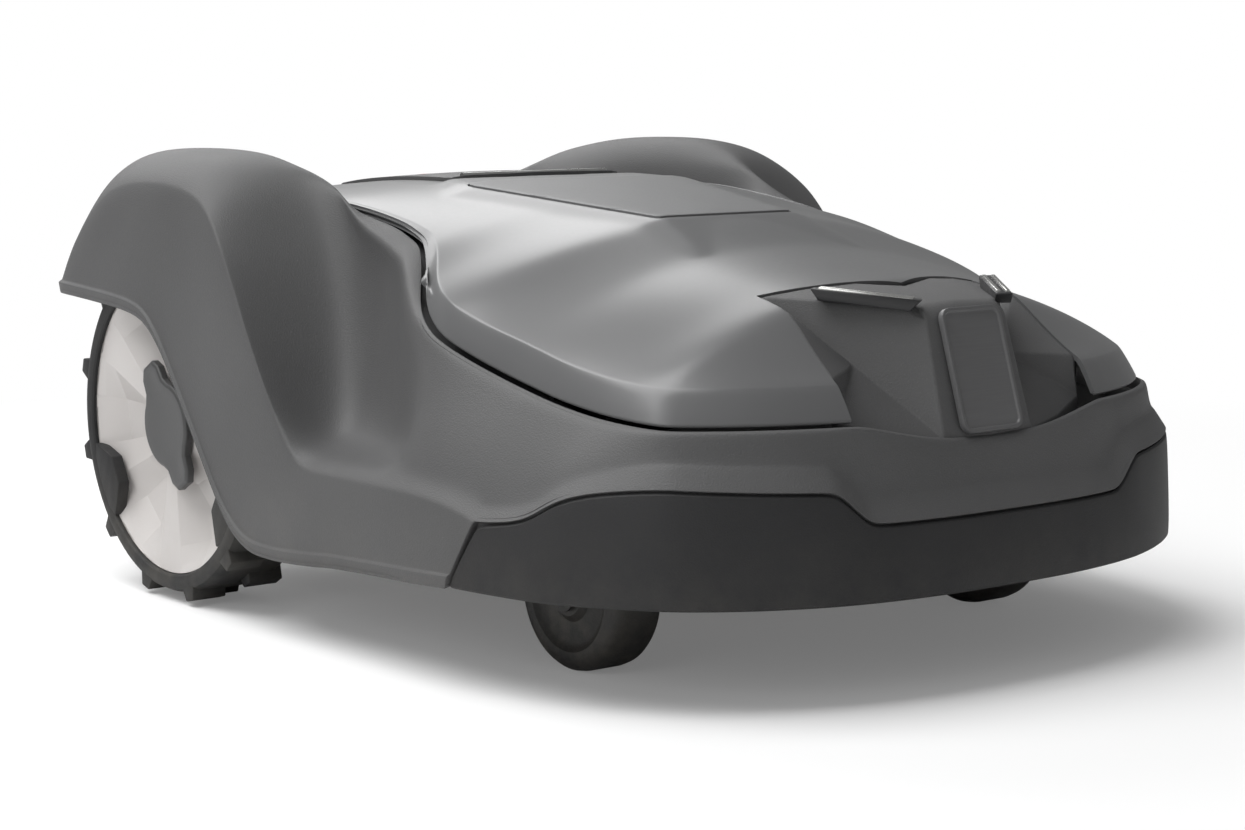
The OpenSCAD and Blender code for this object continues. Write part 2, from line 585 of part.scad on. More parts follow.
module battery_cover_screws() {
    color([0.6, 0.6, 0.6]) for (k = [-1, 1]) translate([k * 64, battery_at.y + battery.y / 2, 0]) {
        translate([0, 0, box_z - 2.5]) cylinder(h = 4.4, r = 1.95, $fn = 32);
        translate([0, 0, box_z - 3]) cylinder(h = 2, r = 4, $fn = 32);
    }
}

// Right-hand pieces are mirrored from these left-hand ones
shaft_from = gear_x + 26;
module drive_motor() {
    floor_z = box_z + box_wall + clear;
    color([0.35, 0.35, 0.36]) difference() {
        union() {
            translate([gear_x, axle_y - gear_half, floor_z])
                cube([box_w - box_wall - clear - gear_x, 2 * gear_half, tub_top - 2 - floor_z]);
            translate([gear_x - 36, axle_y, axle_z]) rotate([0, 90, 0]) cylinder(h = 37, r = 25, $fn = 64);
        }
        translate([shaft_from - 1, axle_y, axle_z]) rotate([0, 90, 0])
            cylinder(h = 99, r = axle_d / 2 + run, $fn = 48);
    }
}
tyre_out = half_w - 8;
tyre_in = tyre_out - tyre_w;
rim_r = 103;
block_angles = [-29, 91, 211];
module drive_axle() {
    color([0.7, 0.7, 0.72]) translate([shaft_from, axle_y, axle_z]) rotate([0, 90, 0])
        cylinder(h = tyre_out - 12 - shaft_from, r = axle_d / 2, $fn = 48);
}
// A wedge in the plane of the wheel between two radii, half angle b at the outer one, a at the inner
module wheel_wedge(r0, a, r1, b, x, t) {
    translate([x, 0, 0]) rotate([90, 0, 90]) linear_extrude(t) polygon([for (p = [[r0, -a], [r1, -b],
        [r1 + 0.5, 0], [r1, b], [r0, a]]) p.x * [cos(p.y), sin(p.y)]]);
}
module tyre() {
    r = wheel_d / 2 - lug_h;
    color([0.06, 0.06, 0.06]) translate([0, axle_y, axle_z]) {
        translate([tyre_in, 0, 0]) rotate([0, 90, 0]) difference() {
            union() {
                translate([0, 0, 4]) cylinder(h = tyre_w - 8, r = r, $fn = 120);
                cylinder(h = tyre_w, r = r - 4, $fn = 120);
            }
            translate([0, 0, -1]) cylinder(h = tyre_w + 2, r = rim_r, $fn = 120);
        }
        for (a = block_angles) rotate([a, 0, 0]) wheel_wedge(82, 7.5, rim_r + 4, 15, tyre_out - 12, 11);
        for (i = [0:lug_count - 1]) for (k = [0, 1]) rotate([-90 + (i + k / 2) * 360 / lug_count, 0, 0])
            translate([tyre_in + k * tyre_w / 2 + 1, r - 7, -6]) cube([tyre_w / 2 - 2, lug_h + 7, 12]);
    }
}
module wheel_disc() {
    color([0.8, 0.78, 0.76]) translate([0, axle_y, axle_z]) difference() {
        union() {
            translate([tyre_out - 18, 0, 0]) rotate([0, 90, 0]) cylinder(h = 5.7, r = rim_r, $fn = 120);
            translate([tyre_out - 18, 0, 0]) rotate([0, 90, 0]) difference() {
                cylinder(h = 13, r = rim_r, $fn = 120);
                translate([0, 0, -1]) cylinder(h = 20, r = rim_r - 6, $fn = 120);
            }
            for (a = block_angles) rotate([a + 60, 0, 0])
                wheel_wedge(30, 30, rim_r - 3, 20, tyre_out - 18, 11);
            translate([tyre_in + 20, 0, 0]) rotate([0, 90, 0]) cylinder(h = tyre_w - 30, r = 20, $fn = 64);
            translate([tyre_out - 18, 0, 0]) rotate([0, 90, 0]) cylinder(h = 11, r = 36, $fn = 64);
        }
        for (a = block_angles) rotate([a, 0, 0]) wheel_wedge(81.5, 8, rim_r + 3, 15.4, tyre_out - 12.3, 20);
        translate([tyre_in, 0, 0]) rotate([0, 90, 0]) cylinder(h = 99, r = axle_d / 2, $fn = 48);
    }
}
module hub_cap() {
    color([0.25, 0.25, 0.25]) translate([tyre_out - 6.7, axle_y, axle_z]) rotate([0, 90, 0]) difference() {
        union() {
            cylinder(h = 6, r = 29, $fn = 64);
            rotate([0, 0, 30]) translate([-45, -12, 0]) cube([90, 24, 4]);
        }
        translate([0, 0, -4]) cylinder(h = 5.5, r = 20, $fn = 48);
    }
}
caster_y = pivot_y + caster_trail;
caster_z = caster_d / 2;
arm_in = caster_x - caster_w / 2 - 11;
module caster_arm() {
    plate_z = caster_d + 4;
    color([0.1, 0.1, 0.1]) {
        translate([caster_x, pivot_y, plate_z]) cylinder(h = 13.7, r = 11, $fn = 48);
        translate([caster_x, pivot_y, plate_z]) cylinder(h = tub_top + 8 - plate_z, r = stem_d / 2, $fn = 48);
        translate([caster_x, pivot_y, tub_top + clear]) cylinder(h = 5, r = 10, $fn = 48);
        translate([0, 0, plate_z]) linear_extrude(8) polygon([[arm_in, caster_y + 12], [arm_in, caster_y - 14],
            [caster_x - 8, pivot_y - 10], [caster_x + 10, pivot_y], [caster_x, pivot_y + 11],
            [arm_in + 8, caster_y + 12]]);
        difference() {
            union() {
                translate([arm_in, caster_y - 12, caster_z]) cube([8, 24, plate_z + 1 - caster_z]);
                translate([arm_in, caster_y, caster_z]) rotate([0, 90, 0]) cylinder(h = 8, r = 12, $fn = 48);
            }
            translate([arm_in - 1, caster_y, caster_z]) rotate([0, 90, 0]) cylinder(h = 20, r = 6, $fn = 48);
        }
    }
}
module caster_wheel() {
    x = caster_x - caster_w / 2;
    color([0.06, 0.06, 0.06]) translate([x, caster_y, caster_z]) rotate([0, 90, 0]) difference() {
        union() {
            translate([0, 0, 5]) cylinder(h = caster_w - 10, r = caster_z, $fn = 96);
            translate([0, 0, 1.5]) cylinder(h = caster_w - 3, r = caster_z - 2, $fn = 96);
            cylinder(h = caster_w, r = caster_z - 6, $fn = 96);
        }
        translate([0, 0, -1]) cylinder(h = caster_w + 2, r = 6 + run, $fn = 48);
    }
}
module caster_axle() {
    color([0.2, 0.2, 0.2]) translate([arm_in, caster_y, caster_z]) rotate([0, 90, 0]) {
        cylinder(h = caster_w + 12, r = 6, $fn = 48);
        translate([0, 0, caster_w + 11 + clear]) cylinder(h = 3.5, r = 12, $fn = 48);
    }
}

// Cutting unit, drawn at the highest setting
housing_low = box_z + 6;
housing_top = tub_top + 6;
module cutting_housing() {
    color([0.16, 0.16, 0.16]) difference() {
        union() {
            translate([0, 0, housing_low]) cylinder(h = housing_top - housing_low, r = cut_r, $fn = 96);
            translate([-11, 30, housing_top - 10]) cube([22, spindle_y - 18, 10]);
        }
        translate([0, 0, housing_low + 6]) cylinder(h = 99, r = 37, $fn = 64);
        translate([0, 0, housing_low - 1]) cylinder(h = 20, r = shaft_d / 2 + 2, $fn = 48);
        translate([0, spindle_y, housing_low]) cylinder(h = 99, r = spindle_d / 2 + run, $fn = 48);
    }
}
module cutting_motor() {
    color([0.5, 0.5, 0.5]) translate([0, 0, housing_low + 6 + clear]) difference() {
        cylinder(h = 52, r = 36.7, $fn = 64);
        translate([0, 0, -1]) cylinder(h = 30, r = shaft_d / 2 + run, $fn = 48);
    }
}
shaft_low = disc_z - 11;
module cutter_shaft() {
    color([0.7, 0.7, 0.72]) translate([0, 0, shaft_low])
        cylinder(h = housing_low + 30 - shaft_low, r = shaft_d / 2, $fn = 48);
}
pivot_r = disc_d / 2 - 13;
blade_angles = [90, 210, 330];
module cutting_disc() {
    color([0.75, 0.4, 0.1]) difference() {
        union() {
            translate([0, 0, disc_z - 3]) cylinder(h = 3, r = disc_d / 2, $fn = 120);
            translate([0, 0, disc_z - 1]) cylinder(h = 11, r = 22, $fn = 64);
        }
        translate([0, 0, disc_z - 9]) cylinder(h = 30, r = shaft_d / 2, $fn = 48);
        for (a = blade_angles) rotate([0, 0, a]) translate([pivot_r, 0, disc_z - 9])
            cylinder(h = 30, r = 2.75, $fn = 32);
    }
}
module blade(a) {
    color([0.8, 0.8, 0.82]) rotate([0, 0, a]) translate([pivot_r, 0, disc_z - 5]) difference() {
        translate([-8, -8.5, 0]) cube([blade_l, 17, 1.2]);
        translate([0, 0, -1]) cylinder(h = 9, r = 2.75 + run, $fn = 32);
    }
}
module blade_screws() {
    color([0.6, 0.6, 0.6]) for (a = blade_angles) rotate([0, 0, a]) translate([pivot_r, 0, 0]) {
        translate([0, 0, disc_z - 6]) cylinder(h = 8, r = 2.75, $fn = 32);
        translate([0, 0, disc_z - 8.3]) cylinder(h = 3, r = 5.5, $fn = 32);
        translate([0, 0, disc_z + clear]) cylinder(h = 3, r = 5, $fn = 6);
    }
}
module skid_plate() {
    color([0.1, 0.1, 0.1]) translate([0, 0, shaft_low - 6]) difference() {
        cylinder(h = 3, r = disc_d / 2 - 12, $fn = 96);
        translate([0, 0, -1]) cylinder(h = 9, r = 7 + run, $fn = 48);
    }
}
module skid_screw() {
    color([0.6, 0.6, 0.6]) translate([0, 0, shaft_low]) {
        translate([0, 0, -7]) cylinder(h = 7, r = 7, $fn = 48);
        translate([0, 0, -10]) cylinder(h = 3.7, r = 15, $fn = 48);
    }
}
spindle_top = lid_top - box_wall - 12;
module height_spindle() {
    color([0.7, 0.7, 0.72]) translate([0, spindle_y, box_z + 4 + clear])
        cylinder(h = spindle_top - box_z - 4, r = spindle_d / 2, $fn = 48);
}
module height_motor() {
    color([0.4, 0.4, 0.4]) translate([0, spindle_y, 0]) difference() {
        translate([-17, -17, housing_top + 10]) cube([34, 34, lid_top - box_wall - clear - housing_top - 10]);
        translate([0, 0, box_z]) cylinder(h = spindle_top + 1 - box_z, r = spindle_d / 2 + run, $fn = 48);
    }
}

body_shell();
wheel_arch();  // wheel_arch_left
mirror([1, 0, 0]) wheel_arch();  // wheel_arch_right
nose_block();
front_bumper();
top_cover();
top_panel();
nose_plate();
contact_holder();  // contact_holder_left
mirror([1, 0, 0]) contact_holder();  // contact_holder_right
contact_strip();  // contact_strip_left
mirror([1, 0, 0]) contact_strip();  // contact_strip_right
hatch_lid();
stop_button();
hatch_hinge_pin();
suspension_posts();
suspension_boots();
chassis_tub();
chassis_gasket();
chassis_lid();
chassis_screws();
console_panel();
display_lens();
control_dial();
power_button();
main_board();
battery_pack();
battery_cover();
battery_cover_screws();
drive_motor();  // drive_motor_left
mirror([1, 0, 0]) drive_motor();  // drive_motor_right
drive_axle();  // drive_axle_left
mirror([1, 0, 0]) drive_axle();  // drive_axle_right
tyre();  // tyre_left
mirror([1, 0, 0]) tyre();  // tyre_right
wheel_disc();  // wheel_disc_left
mirror([1, 0, 0]) wheel_disc();  // wheel_disc_right
hub_cap();  // hub_cap_left
mirror([1, 0, 0]) hub_cap();  // hub_cap_right
caster_arm();  // caster_arm_left
mirror([1, 0, 0]) caster_arm();  // caster_arm_right
caster_wheel();  // caster_wheel_left
mirror([1, 0, 0]) caster_wheel();  // caster_wheel_right
caster_axle();  // caster_axle_left
mirror([1, 0, 0]) caster_axle();  // caster_axle_right
cutting_housing();
cutting_motor();
cutter_shaft();
cutting_disc();
blade(blade_angles[0]);  // blade_1
blade(blade_angles[1]);  // blade_2
blade(blade_angles[2]);  // blade_3
blade_screws();
skid_plate();
skid_screw();
height_spindle();
height_motor();
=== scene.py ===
"""Looks of a robotic lawn mower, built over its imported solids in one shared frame."""

import json
import logging
import math
from dataclasses import dataclass
from enum import Enum
from typing import Callable, Iterable, Sequence

import bmesh
import bpy
from bmesh.types import BMEdge, BMFace, BMVert, BMesh
from mathutils import Matrix, Vector
from mathutils.bvhtree import BVHTree


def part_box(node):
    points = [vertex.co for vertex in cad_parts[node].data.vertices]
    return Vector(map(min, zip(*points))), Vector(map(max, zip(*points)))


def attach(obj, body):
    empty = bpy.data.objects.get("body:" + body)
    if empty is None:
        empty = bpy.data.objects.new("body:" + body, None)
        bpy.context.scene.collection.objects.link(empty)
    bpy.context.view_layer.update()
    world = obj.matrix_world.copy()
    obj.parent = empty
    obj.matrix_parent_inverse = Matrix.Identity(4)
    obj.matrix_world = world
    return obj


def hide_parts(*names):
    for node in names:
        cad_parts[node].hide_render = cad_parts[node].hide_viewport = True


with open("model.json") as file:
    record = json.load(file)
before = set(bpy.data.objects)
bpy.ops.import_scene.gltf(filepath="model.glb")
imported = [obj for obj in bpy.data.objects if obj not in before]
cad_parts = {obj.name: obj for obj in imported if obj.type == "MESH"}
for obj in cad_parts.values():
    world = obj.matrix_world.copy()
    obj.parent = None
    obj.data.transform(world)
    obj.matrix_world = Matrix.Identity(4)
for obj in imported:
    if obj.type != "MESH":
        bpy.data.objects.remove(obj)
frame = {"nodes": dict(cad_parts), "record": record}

log = logging.getLogger("mower")
MM = 0.001
Row = Sequence[tuple[float, float]]
Point = tuple[float, float, float]


class Side(Enum):
    """Side of the mower; the value is the sign of X."""

    LEFT = 1
    RIGHT = -1

    @property
    def tag(self) -> str:
        """Ending of the names of the pieces on this side."""
        return "left" if self is Side.LEFT else "right"


# ---------------------------------------------------------------- mesh helpers


def lookup(x: float, table: Row) -> float:
    """Reads a value off a table of straight runs.

    Args:
        x: The place to read.
        table: Pairs of place and value, in rising order.

    Returns:
        The value at x, held at the table's ends.
    """
    if x <= table[0][0]:
        return table[0][1]
    for (a, va), (b, vb) in zip(table, table[1:]):
        if x <= b:
            return va + (vb - va) * (x - a) / (b - a)
    return table[-1][1]


def mix(a: float, b: float, t: float) -> float:
    """Value at share t of the way from a to b."""
    return a + (b - a) * t


def chain(bm: BMesh, points: Iterable[Point], closed: bool = False) -> list[BMVert]:
    """Lays a row of joined vertices.

    Args:
        bm: Mesh that the row goes into.
        points: Places in millimetres.
        closed: True to join the last vertex to the first.

    Returns:
        The vertices, in order.
    """
    verts = [bm.verts.new(Vector(p) * MM) for p in points]
    for a, b in zip(verts, verts[1:]):
        bm.edges.new((a, b))
    if closed:
        bm.edges.new((verts[-1], verts[0]))
    return verts


def row_edges(bm: BMesh, verts: Sequence[BMVert], closed: bool = False) -> list[BMEdge]:
    """Edges that join a row's neighbouring vertices."""
    pairs = list(zip(verts, verts[1:])) + ([(verts[-1], verts[0])] if closed else [])
    return [e for e in (bm.edges.get(p) for p in pairs) if e is not None]


def loft(bm: BMesh, rows: Sequence[list[BMVert]], closed: bool = False) -> None:
    """Bridges each row of vertices to the next."""
    for a, b in zip(rows, rows[1:]):
        bmesh.ops.bridge_loops(bm, edges=row_edges(bm, a, closed) + row_edges(bm, b, closed))


def creased_mesh() -> BMesh:
    """New mesh whose edges can be creased."""
    bm = bmesh.new()
    bm.edges.layers.float.new("crease_edge")
    return bm


def crease(bm: BMesh, edges: Iterable[BMEdge], amount: float) -> None:
    """Sets how sharp the subdivision keeps these edges, from 0 to 1."""
    layer = bm.edges.layers.float["crease_edge"]
    for e in edges:
        e[layer] = amount


def crease_column(bm: BMesh, rows: Sequence[list[BMVert]], index: int, amount: float) -> None:
    """Creases the line through the same place of neighbouring rows."""
    crease(bm, row_edges(bm, [r[index] for r in rows]), amount)


def mirror_x(bm: BMesh) -> None:
    """Adds the other half across the middle plane and closes the seam between them."""
    geom = bm.verts[:] + bm.edges[:] + bm.faces[:]
    bmesh.ops.mirror(bm, geom=geom, matrix=Matrix.Identity(4), merge_dist=1e-6, axis="X")
    bmesh.ops.remove_doubles(bm, verts=bm.verts[:], dist=2e-5)
    bmesh.ops.recalc_face_normals(bm, faces=bm.faces[:])


def soften(bm: BMesh, edges: Iterable[BMEdge], offset: float, segments: int = 2) -> None:
    """Rounds edges by a radius given in millimetres."""
    bmesh.ops.bevel(bm, geom=list(edges), offset=offset * MM, segments=segments, profile=0.5,
                    affect="EDGES", material=-1, clamp_overlap=True)


def smooth_heights(bm: BMesh, verts: Sequence[BMVert], factor: float, times: int) -> None:
    """Evens out the heights of vertices without moving them in plan."""
    for _ in range(times):
        bmesh.ops.smooth_vert(bm, verts=verts, factor=factor, use_axis_x=False, use_axis_y=False,
                              use_axis_z=True)


def sharp_edges(bm: BMesh, angle: float) -> list[BMEdge]:
    """Edges where two faces meet at more than an angle in degrees."""
    limit = math.radians(angle)
    return [e for e in bm.edges if len(e.link_faces) == 2 and e.calc_face_angle(0.0) > limit]


def spun(bm: BMesh, profile: Iterable[tuple[float, float]], centre: Point, axis: str, steps: int,
         closed: bool = False) -> None:
    """Turns a profile of (place along the axis, radius) once round an axis.

    Args:
        bm: Mesh that the turned shape goes into.
        profile: Pairs in millimetres.
        centre: A point on the axis, in millimetres.
        axis: "X" or "Z".
        steps: Steps in the turn.
        closed: True where the profile is a closed loop.
    """
    cx, cy, cz = centre
    if axis == "X":
        points = [(a, cy, cz + r) for a, r in profile]
        direction = Vector((1, 0, 0))
    else:
        points = [(cx + r, cy, a) for a, r in profile]
        direction = Vector((0, 0, 1))
    verts = chain(bm, points, closed)
    bmesh.ops.spin(bm, geom=verts + row_edges(bm, verts, closed), cent=Vector(centre) * MM,
                   axis=direction, angle=2 * math.pi, steps=steps, use_merge=True)
    bmesh.ops.remove_doubles(bm, verts=bm.verts[:], dist=2e-6)
    bmesh.ops.recalc_face_normals(bm, faces=bm.faces[:])


def plate(bm: BMesh, outline: Iterable[Point], along: Vector, corner: float = 0.0) -> list[BMFace]:
    """Raises a flat outline to a plate.

    Args:
        bm: Mesh that the plate goes into.
        outline: Corners in millimetres.
        along: Direction and thickness of the plate, in millimetres.
        corner: Radius of its corners, in millimetres.

    Returns:
        The face at the far end.
    """
    verts = chain(bm, outline, closed=True)
    face = bm.faces.new(verts)
    if corner:
        done = bmesh.ops.bevel(bm, geom=verts, offset=corner * MM, segments=4, profile=0.5,
                               affect="VERTICES", material=-1)
        face = max(done["faces"] + [f for f in bm.faces if f.is_valid and set(f.verts) & set(done["verts"])],
                   key=lambda f: f.calc_area())
    grown = bmesh.ops.extrude_face_region(bm, geom=[face], use_keep_orig=True)
    top = [g for g in grown["geom"] if isinstance(g, BMFace)]
    bmesh.ops.translate(bm, verts=list({v for f in top for v in f.verts}), vec=along * MM)
    bmesh.ops.recalc_face_normals(bm, faces=bm.faces[:])
    return top


def to_object(name: str, bm: BMesh, sharp: float = 32.0) -> bpy.types.Object:
    """Makes a smooth-shaded object of a finished mesh.

    Args:
        name: Name of the object.
        bm: Its mesh, which is used up.
        sharp: Angle in degrees above which an edge stays sharp.

    Returns:
        The linked object, at the origin.
    """
    mesh = bpy.data.meshes.new(name)
    bm.to_mesh(mesh)
    bm.free()
    mesh.shade_smooth()
    mesh.set_sharp_from_angle(angle=math.radians(sharp))
    obj = bpy.data.objects.new(name, mesh)
    bpy.context.scene.collection.objects.link(obj)
    return obj


def subdivide(obj: bpy.types.Object, levels: int) -> None:
    """Gives a piece a subdivision surface with the same levels in view and render."""
    mod = obj.modifiers.new("Subdivision", "SUBSURF")
    mod.levels = levels
    mod.render_levels = levels
    mod.boundary_smooth = "PRESERVE_CORNERS"


def settle(obj: bpy.types.Object, sharp: float = 32.0) -> None:
    """Makes what an object's modifiers give its own mesh."""
    graph = bpy.context.evaluated_depsgraph_get()
    mesh = bpy.data.meshes.new_from_object(obj.evaluated_get(graph))
    obj.modifiers.clear()
    obj.data = mesh
    mesh.shade_smooth()
    mesh.set_sharp_from_angle(angle=math.radians(sharp))


def thicken(obj: bpy.types.Object, thickness: float, sharp: float) -> None:
    """Gives a surface a wall on its inner side, in millimetres."""
    wall = obj.modifiers.new("Wall", "SOLIDIFY")
    wall.thickness = thickness * MM
    wall.offset = -1.0
    settle(obj, sharp)


def around_pairs(items: list) -> Iterable[tuple]:
    """Each item with the one after it, and the last with the first."""
    return zip(items, items[1:] + items[:1])


def hand_over(obj: bpy.types.Object, finish: "Finish", body: str, slot: str, *nodes: str) -> None:
    """Dresses a finished piece and hands it to the frame.

    Args:
        obj: The piece.
        finish: Its finish.
        body: Body of the frame that it moves with.
        slot: Material slot of the record; not used.
        nodes: Solids that it stands for.
    """
    obj.data.materials.clear()
    obj.data.materials.append(finish.material())
    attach(obj, body)
    if nodes:
        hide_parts(*nodes)
    log.info("%s: %d faces on %s, %s", obj.name, len(obj.data.polygons), body, finish.name)


# ---------------------------------------------------------------- finishes


class Graph:
    """A shader node tree with short calls to add and join nodes."""

    def __init__(self, tree: bpy.types.NodeTree) -> None:
        """Starts on an empty tree."""
        self.tree = tree
        tree.nodes.clear()

    def add(self, kind: str, **settings: object) -> bpy.types.Node:
        """Adds a node and sets its properties and input values.

        Args:
            kind: Node type without its "ShaderNode" start.
            settings: Properties by name, or inputs by name with spaces as underscores.

        Returns:
            The new node.
        """
        made = self.tree.nodes.new(kind if kind.startswith("Node") else "ShaderNode" + kind)
        for key, value in settings.items():
            if key in made.bl_rna.properties:
                setattr(made, key, value)
            else:
                made.inputs[key.replace("_", " ")].default_value = value
        return made

    def join(self, source: bpy.types.NodeSocket, target: bpy.types.NodeSocket) -> None:
        """Links an output to an input."""
        self.tree.links.new(source, target)

    def ramp(self, source: bpy.types.NodeSocket, low: float, high: float) -> bpy.types.NodeSocket:
        """Stretches the span from low to high over 0 to 1."""
        made = self.add("MapRange")
        made.inputs["From Min"].default_value = low
        made.inputs["From Max"].default_value = high
        self.join(source, made.inputs["Value"])
        return made.outputs["Result"]

    def maths(self, operation: str, a: object, b: object) -> bpy.types.NodeSocket:
        """Result of a sum of two sockets or numbers."""
        made = self.add("Math", operation=operation)
        for i, value in enumerate((a, b)):
            if isinstance(value, (int, float)):
                made.inputs[i].default_value = value
            else:
                self.join(value, made.inputs[i])
        return made.outputs[0]

    def blend(self, factor: bpy.types.NodeSocket, a: object, b: object) -> bpy.types.NodeSocket:
        """Colour between a and b by a factor socket; a and b are sockets or colours."""
        made = self.add("Mix", data_type="RGBA")
        self.join(factor, made.inputs[0])
        for socket, value in ((made.inputs[6], a), (made.inputs[7], b)):
            if isinstance(value, bpy.types.NodeSocket):
                self.join(value, socket)
            else:
                socket.default_value = (*value, 1.0)
        return made.outputs[2]


def node_group(name: str, inputs: Sequence[tuple[str, str, object]], outputs: Sequence[tuple[str, str]],
               build: Callable[[Graph, bpy.types.Node, bpy.types.Node], None]) -> bpy.types.NodeTree:
    """Builds a shader node group once and hands out the same one after that.

    Args:
        name: Name of the group.
        inputs: Name, socket type and default of each input.
        outputs: Name and socket type of each output.
        build: Fills the group between its input and output nodes.

    Returns:
        The group's tree.
    """
    tree = bpy.data.node_groups.get(name)
    if tree is not None:
        return tree
    tree = bpy.data.node_groups.new(name, "ShaderNodeTree")
    graph = Graph(tree)
    for label, kind, default in inputs:
        socket = tree.interface.new_socket(label, in_out="INPUT", socket_type=kind)
        if default is not None:
            socket.default_value = default
    for label, kind in outputs:
        tree.interface.new_socket(label, in_out="OUTPUT", socket_type=kind)
    build(graph, graph.add("NodeGroupInput"), graph.add("NodeGroupOutput"))
    return tree


def mould_grain_and_glint(g: Graph, start: bpy.types.Node, end: bpy.types.Node) -> None:
    """Fills the group that gives the eroded grain of a moulded face and the mask of its painted glints."""
    fine = g.add("TexNoise", Detail=4.0, Roughness=0.62)
    g.join(start.outputs["Vector"], fine.inputs["Vector"])
    g.join(start.outputs["Scale"], fine.inputs["Scale"])
    pits = g.add("TexVoronoi", feature="F1")
    g.join(start.outputs["Vector"], pits.inputs["Vector"])
    g.join(g.maths("MULTIPLY", start.outputs["Scale"], 0.8), pits.inputs["Scale"])
    height = g.maths("ADD", g.maths("MULTIPLY", fine.outputs["Fac"], 0.7),
                     g.maths("MULTIPLY", pits.outputs["Distance"], 0.5))
    g.join(height, end.inputs["Height"])
    # painted glints: the peaks of the fine noise mark the grain dots that the colour brightens in place of
    # highlights
    g.join(g.ramp(fine.outputs["Fac"], 0.60, 0.74), end.inputs["Painted Glint"])


def moulded_tone(g: Graph, start: bpy.types.Node, end: bpy.types.Node) -> None:
    """Fills the group that gives slow changes of tone over a moulding."""
    slow = g.add("TexNoise", Detail=2.0, Roughness=0.5)
    g.join(start.outputs["Vector"], slow.inputs["Vector"])
    g.join(start.outputs["Scale"], slow.inputs["Scale"])
    g.join(g.ramp(slow.outputs["Fac"], 0.3, 0.7), end.inputs["Mask"])


def ground_dust(g: Graph, start: bpy.types.Node, end: bpy.types.Node) -> None:
    """Fills the group that gives the dust and rubbed marks near the ground."""
    split = g.add("SeparateXYZ")
    g.join(start.outputs["Vector"], split.inputs[0])
    low = g.add("MapRange", clamp=True)
    g.join(split.outputs["Z"], low.inputs["Value"])
    g.join(start.outputs["Top"], low.inputs["From Min"])
    low.inputs["From Max"].default_value = 0.03
    cloud = g.add("TexNoise", Scale=26.0, Detail=5.0, Roughness=0.7)
    g.join(start.outputs["Vector"], cloud.inputs["Vector"])
    dust = g.maths("MULTIPLY", low.outputs["Result"], g.ramp(cloud.outputs["Fac"], 0.35, 0.75))
    g.join(g.maths("MULTIPLY", dust, start.outputs["Amount"]), end.inputs["Mask"])
    scratch = g.add("TexNoise", Scale=9.0, Detail=8.0, Roughness=0.85, Distortion=2.2)
    g.join(start.outputs["Vector"], scratch.inputs["Vector"])
    g.join(g.ramp(scratch.outputs["Fac"], 0.66, 0.70), end.inputs["Rub"])


def grain_and_glint_group() -> bpy.types.NodeTree:
    """Group with the grain of a moulded face and the mask of its painted glints."""
    return node_group("MouldGrainAndGlint",
                      [("Vector", "NodeSocketVector", None), ("Scale", "NodeSocketFloat", 900.0)],
                      [("Height", "NodeSocketFloat"), ("Painted Glint", "NodeSocketFloat")], mould_grain_and_glint)


def tone_group() -> bpy.types.NodeTree:
    """Group with the slow changes of tone."""
    return node_group("MouldedTone",
                      [("Vector", "NodeSocketVector", None), ("Scale", "NodeSocketFloat", 6.0)],
                      [("Mask", "NodeSocketFloat")], moulded_tone)


def dust_group() -> bpy.types.NodeTree:
    """Group with the dust near the ground."""
    return node_group("GroundDust", [("Vector", "NodeSocketVector", None), ("Top", "NodeSocketFloat", 0.16),
                                     ("Amount", "NodeSocketFloat", 0.3)],
                      [("Mask", "NodeSocketFloat"), ("Rub", "NodeSocketFloat")], ground_dust)


Colour = tuple[float, float, float]
DUST: Colour = (0.30, 0.27, 0.22)


